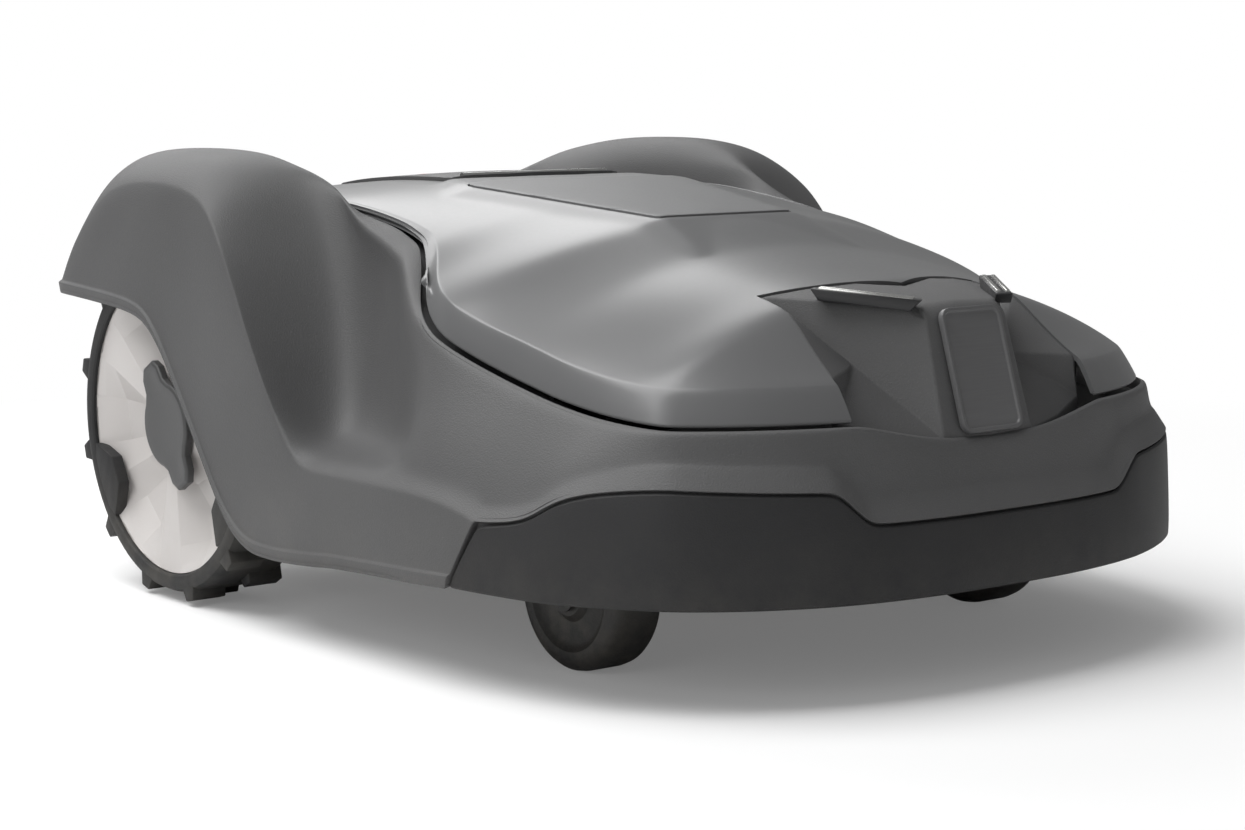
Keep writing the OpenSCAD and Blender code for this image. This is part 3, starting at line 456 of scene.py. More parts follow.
@dataclass(frozen=True)
class Finish:
    """A moulded or painted finish; the subclasses add what their surface needs."""

    name: str
    colour: Colour
    light: Colour
    roughness: float = 0.5
    spread: float = 0.08
    metallic: float = 0.0
    coat: float = 0.0
    coat_roughness: float = 0.1
    grain: float = 900.0
    depth: float = 0.12
    # strength of the painted glints: grain dots brightened in the colour in place of highlights
    painted_glint: float = 0.0
    dust: float = 0.0
    dust_top: float = 0.16
    specular: float = 0.5

    def material(self) -> bpy.types.Material:
        """Builds the finish's material once.

        Returns:
            The material.
        """
        made = bpy.data.materials.get(self.name)
        if made is not None:
            return made
        made = bpy.data.materials.new(self.name)
        made.use_nodes = True
        made.diffuse_color = (*self.colour, 1.0)
        g = Graph(made.node_tree)
        shader = g.add("BsdfPrincipled", Metallic=self.metallic, Coat_Weight=self.coat,
                       Coat_Roughness=self.coat_roughness)
        shader.inputs["Specular IOR Level"].default_value = self.specular
        g.join(shader.outputs[0], g.add("OutputMaterial").inputs[0])
        self.dress(g, shader, g.add("TexCoord").outputs["Object"])
        return made

    def placed(self, g: Graph, tree: bpy.types.NodeTree, place: bpy.types.NodeSocket,
               **values: float) -> bpy.types.Node:
        """Puts a shared group in the material with its own values.

        Args:
            g: The material's graph.
            tree: The group.
            place: Socket with the place on the piece.
            values: Values of the group's inputs.

        Returns:
            The group's node.
        """
        made = g.add("Group", node_tree=tree)
        g.join(place, made.inputs["Vector"])
        for key, value in values.items():
            made.inputs[key].default_value = value
        return made

    def dress(self, g: Graph, shader: bpy.types.Node, place: bpy.types.NodeSocket) -> None:
        """Joins colour with its painted glints, roughness and grain to the shader.

        Args:
            g: The material's graph.
            shader: Its Principled BSDF.
            place: Socket with the place on the piece.
        """
        grain = self.placed(g, grain_and_glint_group(), place, Scale=self.grain)
        tone = self.placed(g, tone_group(), place, Scale=7.0)
        colour = g.blend(tone.outputs["Mask"], self.colour, self.light)
        # painted glints: grain dots get twice the lighter tone, standing in for the highlights on the grain
        if self.painted_glint:
            lit = tuple(min(1.0, c * 2.0 + 0.03) for c in self.light)
            colour = g.blend(g.maths("MULTIPLY", grain.outputs["Painted Glint"], self.painted_glint), colour, lit)
        rough = g.maths("ADD", self.roughness - self.spread / 2,
                        g.maths("MULTIPLY", grain.outputs["Height"], self.spread))
        if self.dust:
            dust = self.placed(g, dust_group(), place, Amount=self.dust, Top=self.dust_top)
            colour = g.blend(dust.outputs["Mask"], colour, DUST)
            rough = g.maths("ADD", rough, g.maths("MULTIPLY", dust.outputs["Rub"], 0.08))
        g.join(colour, shader.inputs["Base Color"])
        g.join(rough, shader.inputs["Roughness"])
        bump = g.add("Bump", Strength=self.depth, Distance=0.0006)
        g.join(grain.outputs["Height"], bump.inputs["Height"])
        g.join(bump.outputs["Normal"], shader.inputs["Normal"])


@dataclass(frozen=True)
class BrushedMetal(Finish):
    """Metal with the fine lines of grinding or turning along one direction."""

    stretch: tuple[float, float, float] = (40.0, 40.0, 900.0)

    def dress(self, g: Graph, shader: bpy.types.Node, place: bpy.types.NodeSocket) -> None:
        """Joins the ground lines to the shader."""
        mapped = g.add("Mapping")
        mapped.inputs["Scale"].default_value = self.stretch
        g.join(place, mapped.inputs["Vector"])
        lines = g.add("TexNoise", Scale=1.0, Detail=3.0, Roughness=0.6)
        g.join(mapped.outputs[0], lines.inputs["Vector"])
        tone = self.placed(g, tone_group(), place, Scale=18.0)
        g.join(g.blend(lines.outputs["Fac"], self.colour, self.light), shader.inputs["Base Color"])
        g.join(g.maths("ADD", self.roughness, g.maths("MULTIPLY", tone.outputs["Mask"], self.spread)),
               shader.inputs["Roughness"])
        bump = g.add("Bump", Strength=self.depth, Distance=0.0002)
        g.join(lines.outputs["Fac"], bump.inputs["Height"])
        g.join(bump.outputs["Normal"], shader.inputs["Normal"])


@dataclass(frozen=True)
class CircuitBoard(Finish):
    """Green board with copper tracks under the resist and a scatter of soldered pads."""

    def dress(self, g: Graph, shader: bpy.types.Node, place: bpy.types.NodeSocket) -> None:
        """Joins the tracks and pads to the shader."""
        tracks = g.add("TexBrick", Scale=60.0, Mortar_Size=0.03)
        g.join(place, tracks.inputs["Vector"])
        pads = g.add("TexVoronoi", Scale=260.0)
        g.join(place, pads.inputs["Vector"])
        base = g.blend(tracks.outputs["Fac"], self.colour, self.light)
        mask = g.ramp(pads.outputs["Distance"], 0.22, 0.16)
        g.join(g.blend(mask, base, (0.55, 0.50, 0.38)), shader.inputs["Base Color"])
        g.join(g.maths("SUBTRACT", self.roughness, g.maths("MULTIPLY", mask, 0.2)),
               shader.inputs["Roughness"])


@dataclass(frozen=True)
class WovenTread(Finish):
    """Rubber with the swirled mould marks of a tyre and dust in its low places."""

    def dress(self, g: Graph, shader: bpy.types.Node, place: bpy.types.NodeSocket) -> None:
        """Joins the moulding marks to the shader."""
        super().dress(g, shader, place)
        bloom = g.add("TexWave", wave_type="RINGS", rings_direction="X", Scale=30.0, Distortion=3.0)
        g.join(place, bloom.inputs["Vector"])
        old = shader.inputs["Roughness"].links[0].from_socket
        g.join(g.maths("ADD", old, g.maths("MULTIPLY", bloom.outputs["Fac"], 0.05)),
               shader.inputs["Roughness"])


SHELL = Finish("shell_grained_plastic", (0.074, 0.074, 0.075), (0.094, 0.094, 0.095), roughness=0.56,
               spread=0.12, grain=1150.0, depth=0.42, painted_glint=0.30, dust=0.10, dust_top=0.12, specular=0.5)
BUMPER = Finish("bumper_soft_plastic", (0.017, 0.017, 0.018), (0.024, 0.024, 0.025), roughness=0.58,
                grain=1100.0, depth=0.30, painted_glint=0.14, dust=0.10, dust_top=0.11, specular=0.4)
COVER = Finish("cover_satin_plastic", (0.104, 0.105, 0.107), (0.119, 0.120, 0.122), roughness=0.36,
               spread=0.04, coat=0.35, coat_roughness=0.22, grain=420.0, depth=0.012)
PANEL = Finish("panel_satin_plastic", (0.116, 0.117, 0.119), (0.130, 0.131, 0.133), roughness=0.42,
               grain=900.0, depth=0.05)
BADGE = BrushedMetal("badge_satin_grey", (0.10, 0.10, 0.102), (0.13, 0.13, 0.132), roughness=0.38, depth=0.05,
                     stretch=(30.0, 30.0, 1200.0))
HOLDER = Finish("holder_black_plastic", (0.018, 0.018, 0.019), (0.026, 0.026, 0.027), roughness=0.34,
                depth=0.05)
CONTACT = BrushedMetal("contact_nickel", (0.60, 0.60, 0.58), (0.74, 0.74, 0.72), roughness=0.22, metallic=1.0,
                       depth=0.04, stretch=(500.0, 60.0, 60.0))
HATCH = Finish("hatch_grained_plastic", (0.060, 0.060, 0.061), (0.074, 0.074, 0.075), roughness=0.50,
               grain=1100.0, depth=0.30, painted_glint=0.18)
STOP = Finish("stop_red_plastic", (0.62, 0.055, 0.018), (0.70, 0.075, 0.025), roughness=0.32, coat=0.4,
              depth=0.03)
STEEL = BrushedMetal("turned_steel", (0.42, 0.42, 0.41), (0.58, 0.58, 0.57), roughness=0.26, metallic=1.0,
                     depth=0.10)
POST = Finish("post_black_nylon", (0.020, 0.020, 0.021), (0.030, 0.030, 0.030), roughness=0.46, depth=0.12)
BOOT = Finish("boot_rubber", (0.016, 0.016, 0.016), (0.026, 0.025, 0.024), roughness=0.72, depth=0.25,
              dust=0.2, dust_top=0.2)
CHASSIS = Finish("chassis_black_plastic", (0.030, 0.030, 0.031), (0.042, 0.042, 0.042), roughness=0.55,
                 depth=0.28, painted_glint=0.10, dust=0.45, dust_top=0.13)
SCREW = BrushedMetal("zinc_screw", (0.50, 0.50, 0.48), (0.66, 0.65, 0.62), roughness=0.30, metallic=1.0,
                     depth=0.10)
CONSOLE = Finish("console_black_plastic", (0.026, 0.026, 0.028), (0.034, 0.034, 0.036), roughness=0.40,
                 depth=0.08)
LENS = Finish("display_smoked_lens", (0.010, 0.012, 0.014), (0.016, 0.019, 0.022), roughness=0.08,
              spread=0.02, coat=1.0, coat_roughness=0.03, depth=0.0)
DIAL = Finish("dial_soft_plastic", (0.110, 0.110, 0.112), (0.130, 0.130, 0.132), roughness=0.48, depth=0.15)
POWER = Finish("power_green_plastic", (0.045, 0.27, 0.07), (0.055, 0.33, 0.09), roughness=0.36, coat=0.3,
               depth=0.04)
BOARD = CircuitBoard("board_green_resist", (0.010, 0.085, 0.035), (0.022, 0.150, 0.060), roughness=0.38,
                     coat=0.4)
BATTERY = Finish("battery_shrink_wrap", (0.030, 0.075, 0.170), (0.040, 0.095, 0.200), roughness=0.34,
                 coat=0.3, grain=160.0, depth=0.10)
MOTOR = Finish("motor_grey_paint", (0.105, 0.105, 0.110), (0.135, 0.135, 0.140), roughness=0.40, depth=0.12)
TYRE = WovenTread("tyre_rubber", (0.017, 0.017, 0.018), (0.026, 0.026, 0.026), roughness=0.60, depth=0.22,
                  painted_glint=0.06, dust=0.16, dust_top=0.10, specular=0.4)
DISC = Finish("hub_warm_white", (0.56, 0.535, 0.52), (0.62, 0.595, 0.58), roughness=0.46, grain=700.0,
              depth=0.07, dust=0.10, dust_top=0.14)
CAP = Finish("hub_cap_grey", (0.060, 0.060, 0.061), (0.072, 0.072, 0.073), roughness=0.42, grain=900.0,
             depth=0.12)
ARM = Finish("caster_arm_plastic", (0.020, 0.020, 0.021), (0.030, 0.030, 0.030), roughness=0.50, depth=0.2,
             dust=0.3, dust_top=0.14)
ROLLER = Finish("caster_black_plastic", (0.015, 0.015, 0.016), (0.023, 0.023, 0.023), roughness=0.52,
                depth=0.2, dust=0.28, dust_top=0.06)
HOUSING = Finish("cutting_housing_plastic", (0.034, 0.034, 0.035), (0.046, 0.046, 0.046), roughness=0.56,
                 depth=0.24, dust=0.4, dust_top=0.12)
CUTDISC = Finish("cutting_disc_paint", (0.46, 0.15, 0.018), (0.54, 0.19, 0.026), roughness=0.38, depth=0.12,
                 dust=0.4, dust_top=0.09)
BLADE = BrushedMetal("ground_blade_steel", (0.50, 0.50, 0.49), (0.70, 0.70, 0.69), roughness=0.20,
                     metallic=1.0, depth=0.12, stretch=(900.0, 60.0, 60.0))
SKID = Finish("skid_black_plastic", (0.026, 0.026, 0.027), (0.036, 0.036, 0.036), roughness=0.46, depth=0.16,
              dust=0.4, dust_top=0.08)

SLOT_FINISH: dict[str, Finish] = {
    "shell": SHELL, "bumper": BUMPER, "cover": COVER, "panel": PANEL, "badge": BADGE, "holder": HOLDER,
    "contact": CONTACT, "hatch": HATCH, "stop": STOP, "steel": STEEL, "post": POST, "boot": BOOT,
    "chassis": CHASSIS, "screw": SCREW, "console": CONSOLE, "lens": LENS, "dial": DIAL, "power": POWER,
    "board": BOARD, "battery": BATTERY, "motor": MOTOR, "tyre": TYRE, "disc": DISC, "cap": CAP, "arm": ARM,
    "roller": ROLLER, "housing": HOUSING, "cutdisc": CUTDISC, "blade": BLADE, "skid": SKID}


# ---------------------------------------------------------------- outline shared by shell, bumper and cover


@dataclass(frozen=True)
class Plan:
    """Plan outline, seam of the cover and heights along the shell, in millimetres."""

    half_w: float = 280.0
    front_y: float = -360.0
    front_round: float = 247.0
    side_flare: float = 5.0
    power: float = 2.5
    skirt_z: float = 61.0
    top_z: float = 310.0
    axle_y: float = 183.0
    front_inset: float = 22.0
    front_drop: float = 148.0
    front_band: tuple = (23, 20)
    # inset, distance from the front, drop, band height and band width of the cover's seam
    rail: tuple = (
        (67, 117, 145, 22, 16), (64, 135, 142.5, 22.5, 14), (59.4, 158, 138.2, 23, 13),
        (57.5, 178, 133.5, 23.5, 13), (56, 198, 129, 24, 13), (52, 230, 120, 23, 13),
        (48, 261, 109, 22, 13), (54, 286, 99, 20, 13), (65, 306, 90, 18, 13), (80, 326, 74, 13, 13),
        (90, 342, 63, 9, 13), (97, 355, 57, 7, 13), (102, 385, 49, 5, 13), (104, 426, 43, 5, 13),
        (104, 473, 38, 5, 13), (105, 530, 36, 5, 13), (110, 590, 38, 5, 13), (122, 645, 45, 5, 13),
        (160, 671, 49, 5, 13), (220, 682, 51, 5, 13), (280, 685, 51, 5, 13))
    # distance from the front and drop of the cover's middle line
    spine: tuple = ((43, 125), (98, 74), (211, 58), (266, 40), (441, 23), (490, 21), (570, 24), (630, 33),
                    (672, 46))

    @property
    def arc_x(self) -> float:
        """Half width at the rear end of the front arc."""
        return self.half_w - self.side_flare

    @property
    def arc_y(self) -> float:
        """Place where the front arc ends."""
        return self.front_y + self.front_round

    def arc_point(self, degrees: float) -> Vector:
        """Point of the front arc by its angle."""
        a = math.radians(degrees)
        return Vector((self.arc_x * abs(math.sin(a)) ** (2 / self.power),
                       self.arc_y - self.front_round * abs(math.cos(a)) ** (2 / self.power)))

    def outline_x(self, y: float) -> float:
        """Half width of the outline at a place along the mower."""
        if y < self.arc_y:
            share = 1 - ((self.arc_y - y) / self.front_round) ** self.power
            return self.arc_x * max(0.0, share) ** (1 / self.power)
        return self.arc_x + (self.side_flare - 1.2) * min(1.0, (y - self.arc_y) / (self.axle_y - self.arc_y))

    def outline_point(self, y: float) -> Vector:
        """Point of the outline at a place along the mower."""
        return Vector((self.outline_x(y), y))

    @staticmethod
    def inward(p: Vector, q: Vector) -> Vector:
        """Unit vector square to the way from p to q, towards the middle."""
        d = (q - p).normalized()
        return Vector((-d.y, d.x))

    def arc_normal(self, degrees: float) -> Vector:
        """Inward direction on the front arc."""
        if degrees == 0:
            return Vector((0, 1))
        return self.inward(self.arc_point(max(degrees - 0.5, 0.001)), self.arc_point(degrees + 0.5))

    def side_normal(self, y: float) -> Vector:
        """Inward direction on the side of the outline."""
        return self.inward(self.outline_point(y - 1), self.outline_point(y + 1))

    def bottom_z(self, y: float) -> float:
        """Height of the skirt's lower edge."""
        drop = lookup(y - self.front_y, ((180, 0), (290, 4), (365, 10), (405, 11), (460, 6)))
        return self.skirt_z - drop

    def seam_z(self, degrees: float) -> float:
        """Height of the bumper's seam round the front arc."""
        return self.skirt_z + lookup(degrees, ((0, 45), (17.5, 45), (22.5, 65), (55, 70)))

    def side_shoulder(self, y: float) -> float:
        """Height of the seam or shoulder along the side."""
        rise = lookup(y - self.front_y, ((106, 68), (120, 64), (135, 49), (158, 44), (177, 43), (198, 50),
                                         (230, 53)))
        return self.skirt_z + rise

    def spine_z(self, y: float) -> float:
        """Height of the cover along its middle."""
        return self.top_z - lookup(y - self.front_y, self.spine)

    def rail_at(self, y: float) -> tuple[float, ...]:
        """Inset, drop, band height and band width of the seam beside a place."""
        d = y - self.front_y
        return tuple(lookup(d, [(r[1], r[k]) for r in self.rail]) for k in (0, 2, 3, 4))


PLAN = Plan()
ARC_ANGLES: tuple[float, ...] = (0, 4, 8, 12, 16, 17.8, 20, 22.3, 24, 28, 34, 40, 45, 49)
COVERED_YS: tuple[float, ...] = (-243, -225, -204, -184)
SLANT_SHARES: tuple[float, ...] = (1.0, 1.0, 0.86, 0.06)    # how far each foot point follows the slant


@dataclass(frozen=True)
class Station:
    """A place round the shell: outline and seam points with their inward directions."""

    outer: Vector
    outer_in: Vector
    seam: Vector
    seam_in: Vector
    edge_z: float
    band_h: float
    band_w: float
    shoulder: float

    def from_outer(self, d: float, z: float) -> Point:
        """Point d inwards of the outline at height z."""
        p = self.outer + self.outer_in * d
        return (max(0.0, p.x), p.y, z)

    def from_seam(self, d: float, z: float) -> Point:
        """Point d inwards of the seam at height z."""
        p = self.seam + self.seam_in * d
        return (max(0.0, p.x), p.y, z)


def front_station(degrees: float) -> Station:
    """Station on the front arc."""
    p, n = PLAN.arc_point(degrees), PLAN.arc_normal(degrees)
    return Station(p, n, p + PLAN.front_inset * n, n, PLAN.top_z - PLAN.front_drop, *PLAN.front_band,
                   PLAN.seam_z(degrees) + 1)


def side_station(y: float) -> Station:
    """Station along the side, beside a place on the seam."""
    _, drop, band_h, band_w = PLAN.rail_at(y)

    def seam(place: float) -> Vector:
        return Vector((max(0.0, PLAN.half_w - PLAN.rail_at(place)[0]), place))

    return Station(PLAN.outline_point(y), PLAN.side_normal(y), seam(y),
                   PLAN.inward(seam(y - 9), seam(y + 9)), PLAN.top_z - drop, band_h, band_w,
                   PLAN.side_shoulder(y))


# ---------------------------------------------------------------- shell


@dataclass
class Shell:
    """Grained outer moulding: skirt, ledge round the cover and both wheel arches."""

    recess: float = 5.4
    bevel: float = 1.4
    step_h: float = 2.2
    step_w: float = 1.7
    ledge: float = 24.0
    band_top: float = 11.0
    lip: float = 8.0
    levels: int = 3
    wall: float = 2.4
    smooth_to: float = 40.0
    # (x, z) of each row from the lower edge to the seam, by place along the mower
    sides: tuple = (
        (-99, ((273.5, 58), (275, 66), (274, 108), (272, 114.5), (264, 121.5), (261, 126), (257, 136),
            (252, 150), (247, 165), (243, 179), (239, 191), (236.5, 199), (233.2, 200.8))),
        (-78, ((273.8, 57), (275.3, 65), (274.2, 108), (272, 114.5), (264, 121.5), (257, 123.5), (248, 128),
            (240, 140), (236, 160), (234, 182), (233, 198), (232, 206), (228.7, 208.2))),
        (-56, ((274.2, 56), (275.8, 64), (274.6, 108), (272.4, 114.5), (264, 121.5), (253, 123),
            (241, 125.5), (230, 134), (226, 158), (225, 188), (226, 209), (224, 216), (218.5, 218.6))),
        (-34, ((274.8, 55), (276.2, 63), (275, 108), (272.8, 114.5), (264.5, 121.5), (251, 123), (237, 125),
            (225, 131), (219, 152), (216, 188), (217, 222), (213, 233), (201.6, 235.6))),
        (-18, ((275, 53), (276.5, 61), (275.2, 108.5), (273, 114.5), (264.5, 121.5), (250, 123), (236, 125),
            (223, 130), (214, 150), (208, 192), (206, 230), (206, 242), (191.2, 246.6))),
        (-5, ((275.3, 52), (276.7, 60), (275.4, 108.5), (273.2, 114.5), (265, 121.8), (250, 123),
            (236, 125), (222.5, 130), (212, 150), (203, 196), (199, 234), (201, 247.5), (184, 252.8))),
        (8, ((275.6, 51), (277, 59), (275.6, 112), (273.4, 120), (266, 124), (251, 124), (236, 125.5),
            (222, 131), (210, 152), (200, 200), (195, 238), (199.5, 251), (181.8, 256))),
        (25, ((276, 50), (277.3, 58), (275.6, 131), (273.4, 141), (267, 140), (250, 132), (235, 128),
            (221, 133), (207, 155), (195, 203), (191, 243), (198, 257.5), (179, 261))),
        (45, ((276.3, 50), (277.5, 58), (275.4, 154), (273, 165), (266, 163), (247, 156), (230, 154),
            (215, 161), (203, 180), (193, 216), (190, 250), (197, 264), (177.8, 264.5))),
        (66, ((276.5, 51), (277.8, 59), (275, 184), (272.4, 197), (265, 196), (244, 192), (223, 196),
            (205.5, 209), (197, 226), (190, 246), (188.5, 262), (193, 274.5), (176.8, 267.2))),
        (90, ((276.8, 64), (278, 73), (274, 219), (270.6, 234), (263, 235), (242, 238), (218, 248),
            (198.5, 264), (193.5, 275), (190.5, 283), (187.5, 287.4), (183.5, 286), (176.8, 270))),
        (113, ((277, 93), (278, 102), (272.4, 249), (268.4, 263), (261, 267), (242, 275), (219, 285),
            (203, 291), (195, 294.5), (189.5, 295), (184.5, 293), (180, 287), (177.2, 272))),
        (130, ((277.2, 116), (278, 125), (271, 263), (266.4, 276.5), (259, 283), (241, 292), (220, 297.5),
            (205, 300), (196, 300), (189.5, 298.5), (184, 295), (179.5, 288), (177, 273))),
        (152, ((277.3, 145), (278, 153), (270, 269), (264.6, 283), (258, 290), (240, 300.5), (220, 304.5),
            (206, 306), (197, 305.5), (189.5, 303), (183.5, 297.5), (178.5, 289), (176.6, 273.4))),
        (170, ((277.4, 169), (278, 176), (269.4, 272), (264, 285.5), (257.5, 292.5), (239.5, 303),
            (220, 307.2), (206, 308.5), (197, 307.6), (189.5, 304.6), (183, 298.5), (178, 289),
            (176.2, 273.8))),
        (186, ((277.5, 185), (278, 192.5), (269.2, 274), (263.6, 287), (257, 294), (239, 304.5),
            (220, 308.4), (206, 309.4), (197, 308.2), (189.2, 305.2), (182.6, 298.8), (177.6, 289),
            (175.7, 274))),
        (203, ((277.5, 195.5), (278, 203.5), (269, 275), (263.5, 287.5), (257, 294.4), (239, 305),
            (220, 309), (206, 309.8), (196.6, 308.6), (188.6, 305.6), (181.8, 299), (176.2, 289),
            (174.2, 273.6))),
        (235, ((277.4, 199.5), (278, 207.5), (268.8, 274), (263.2, 286.6), (256.6, 294), (238.6, 305),
            (220, 308.8), (206, 309.6), (196, 308.4), (187, 305), (179, 298), (173, 287.5), (171, 272.4))),
        (275, ((276.8, 201.5), (277.6, 209.5), (268.4, 266), (263, 279), (256, 288), (238, 302), (220, 307),
            (205, 308), (194, 306.6), (184, 302.4), (175, 295), (167.5, 284), (163.4, 267.4))),
        (308, ((275.8, 203), (276.6, 211), (267, 242), (262.4, 254), (255.4, 267), (237, 290), (219, 300),
            (203, 303), (190, 301.6), (177, 297), (163, 289), (149, 277.5), (139.5, 263.4))))
    # rear corner and rear face: (x, y, z) of each row
    rear: tuple = (
        ((273, 333, 203.4), (274, 333, 211), (266, 333.4, 225), (261.5, 333.6, 234), (253.6, 334, 248),
            (238, 334, 275), (220, 333.4, 291), (203, 332, 297), (187, 329.4, 297.4), (170, 326, 293.6),
            (152, 321.4, 284.4), (136, 316.6, 273), (124.6, 312.6, 262)),
        ((261, 347.5, 203.4), (262, 348.6, 211), (254, 349.6, 224), (249.6, 349.8, 232.4),
            (241, 349.4, 247), (225, 346.6, 268.6), (208, 342.4, 282.6), (190, 337.6, 289),
            (171, 333, 289.6), (150, 329, 285.4), (128, 325, 276.6), (108, 321, 267.8), (95, 317.8, 260.9)),
        ((207, 356, 203.4), (207, 357.4, 211), (205, 357.6, 224), (203, 357, 234), (197, 354, 248),
            (186, 350, 262), (171, 346, 271.6), (152, 342, 275.4), (132, 338, 274.6), (113, 334, 271.4),
            (94, 330, 267.2), (79, 326, 263.2), (68.6, 323, 260.2)),
        ((192, 357, 98), (192, 358.4, 106), (191.4, 358.6, 150), (189, 358, 206), (183, 354, 222),
            (170, 349, 238), (153, 345, 249), (134, 341.4, 256), (115, 338, 259.6), (97, 334.6, 261),
            (80, 331, 261), (66, 327, 260.4), (56, 324, 259.6)),
        ((110, 358.6, 96), (110, 360, 104), (109.6, 360, 150), (108, 359.4, 201), (104, 354.6, 210),
            (96, 350, 219), (86, 346.4, 229), (76, 343, 238), (66, 339.6, 246), (56, 336.4, 251.6),
            (48, 332.6, 255), (40, 328.8, 257.6), (34, 325.8, 258.6)),
        ((0, 358.6, 96), (0, 360, 104), (0, 360, 150), (0, 359.6, 200), (0, 355, 207), (0, 350.4, 214),
            (0, 347, 222), (0, 344, 231), (0, 341, 240), (0, 338, 247.6), (0, 334, 252.6), (0, 330, 256),
            (0, 326.4, 257.8)))

    def covered_skirt(self, s: Station) -> list[Point]:
        """Foot of a row where the bumper covers the skirt."""
        base = PLAN.bottom_z(s.outer.y)
        return [s.from_outer(self.recess + 6, base + 3), s.from_outer(self.recess + 2, base + 2),
                s.from_outer(self.recess, base + 8), s.from_outer(7.6, s.shoulder - 1.2),
                s.from_outer(3.2, s.shoulder + 0.2)]

    def front_row(self, s: Station) -> list[Point]:
        """Row of a station that the bumper covers."""
        z0, z1 = s.shoulder + 12, s.edge_z
        middle = min(1.0, max(0.0, (104 - s.outer.x) / 62))
        top = mix(z1, 149.5, middle)
        sink = 1.6 * middle

        def rise(t: float, d: float) -> Point:
            return s.from_outer(d + sink * t, mix(z0, top, t))

        climb = ((0.10, 13), (0.24, 14), (0.40, 14.8), (0.56, 15.4), (0.72, 16), (0.88, 16.8), (0.97, 18),
                 (1.0, 20.4))
        return [*self.covered_skirt(s), s.from_outer(self.band_top, z0), *(rise(t, d) for t, d in climb),
                s.from_outer(20.9 + sink, top - 9)]

    def slope_row(self, s: Station, covered: bool) -> list[Point]:
        """Row of a side station in front of the wheel arch, with or without the bumper over it."""
        base = PLAN.bottom_z(s.outer.y)
        z0, z1 = s.shoulder + 8, s.edge_z
        far = s.outer.x - self.band_top - 1

        def rise(t: float) -> Point:
            x = mix(far, s.seam.x + 6, t ** 1.15)
            return (x, mix(s.outer.y + 3, s.seam.y, t), mix(z0, z1 - 2.5, t ** 0.86))

        skirt = self.covered_skirt(s) if covered else [
            s.from_outer(5, base + 2), s.from_outer(1.5, base), s.from_outer(0, base + self.lip),
            s.from_outer(1.6, s.shoulder - 4), s.from_outer(3.0, s.shoulder + 0.2)]
        slant = lookup(s.outer.y, ((-243, 0), (-225, 6), (-204, 16), (-184, 24))) if covered else 0.0
        share = (*SLANT_SHARES, 0.0)
        slanted = [(x, y + slant * share[k], z) for k, (x, y, z) in enumerate(skirt)]
        return [*slanted, s.from_outer(self.band_top, z0),
                *(rise(t) for t in (0.1, 0.24, 0.4, 0.56, 0.72, 0.86, 1.0)),
                s.from_seam(-1.6, z1), s.from_seam(-1.1, z1 - 9)]

    def make_rows(self) -> list[list[Point]]:
        """Rows of the half shell, from the middle of the front to the middle of the rear."""
        rows = [self.front_row(front_station(a)) for a in ARC_ANGLES]
        rows += [self.slope_row(side_station(y), True) for y in COVERED_YS]
        open_rows = [self.slope_row(side_station(y), False) for y in (-182.6, -168, -150, -126)]
        for row, slant in zip(open_rows, (24.0, 19.0, 11.0, 4.0)):
            for k, share in enumerate(SLANT_SHARES):
                x, y, z = row[k]
                row[k] = (x + PLAN.outline_x(y + slant * share) - PLAN.outline_x(y), y + slant * share, z)
        rows += open_rows
        for y, run in self.sides:
            edge_x, edge_z = run[0]
            outer = [(edge_x - self.bevel - 1.2, y, edge_z + 2), (edge_x - self.bevel, y, edge_z)]
            rows.append(outer + [(x, y, z) for x, z in run[1:]] + [(run[-1][0] + 0.6, y, run[-1][1] - 9)])
        for run in self.rear:
            first, last = run[0], run[-1]
            rows.append([(max(0.0, first[0] - 3), first[1] - 4, first[2] + 2), *run,
                         (last[0], last[1] + 0.6, last[2] - 9)])
        return [self.with_lip_and_ledge(row) for row in rows]

    def with_lip_and_ledge(self, row: list[Point]) -> list[Point]:
        """Adds the step over the rolled lip and the dark ledge under the cover's rim to a row."""
        lip, above, last = (Vector(row[k]) for k in (2, 3, -1))
        step = lip.lerp(above, min(0.3, self.step_h / max(1.0, (above - lip).length)))
        step += self.inward(lip) * self.step_w
        ledge = last + self.inward(last) * self.ledge - Vector((0, 0, 0.5))
        return row[:3] + [tuple(step)] + row[3:] + [tuple(ledge)]

    def inward(self, p: Vector) -> Vector:
        """Level direction from a point of the outline towards the mower's middle line."""
        middle = Vector((0, min(max(p.y, -180.0), 240.0), p.z))
        return (middle - p).normalized()

    def build(self) -> bpy.types.Object:
        """Bridges the rows, mirrors them and dresses the moulding.

        Returns:
            The shell piece.
        """
        bm = creased_mesh()
        rows = [chain(bm, r) for r in self.make_rows()]
        loft(bm, rows)
        front = len(ARC_ANGLES) + len(COVERED_YS)
        for index, amount in ((0, 1.0), (1, 0.55), (2, 0.75), (3, 0.6), (14, 0.6), (15, 0.8), (16, 1.0)):
            crease_column(bm, rows, index, amount)
        for index, amount in ((4, 0.9), (5, 0.75), (6, 0.35)):
            crease_column(bm, rows[:front + 1], index, amount)
        crease_column(bm, rows[front:front + 12], 5, 0.30)
        crease_column(bm, rows[front + 11:-3], 5, 0.72)
        for row in (rows[front - 1], rows[front]):
            crease(bm, row_edges(bm, row[:6]), 0.9)
        crease(bm, row_edges(bm, rows[-4][:6]) + row_edges(bm, rows[-3][:6]), 0.8)
        mirror_x(bm)
        shell = to_object("shell_moulding", bm)
        subdivide(shell, self.levels)
        settle(shell, self.smooth_to)
        thicken(shell, self.wall, self.smooth_to)
        hand_over(shell, SHELL, "shell", "shell", "body_shell", "wheel_arch_left", "wheel_arch_right")
        return shell


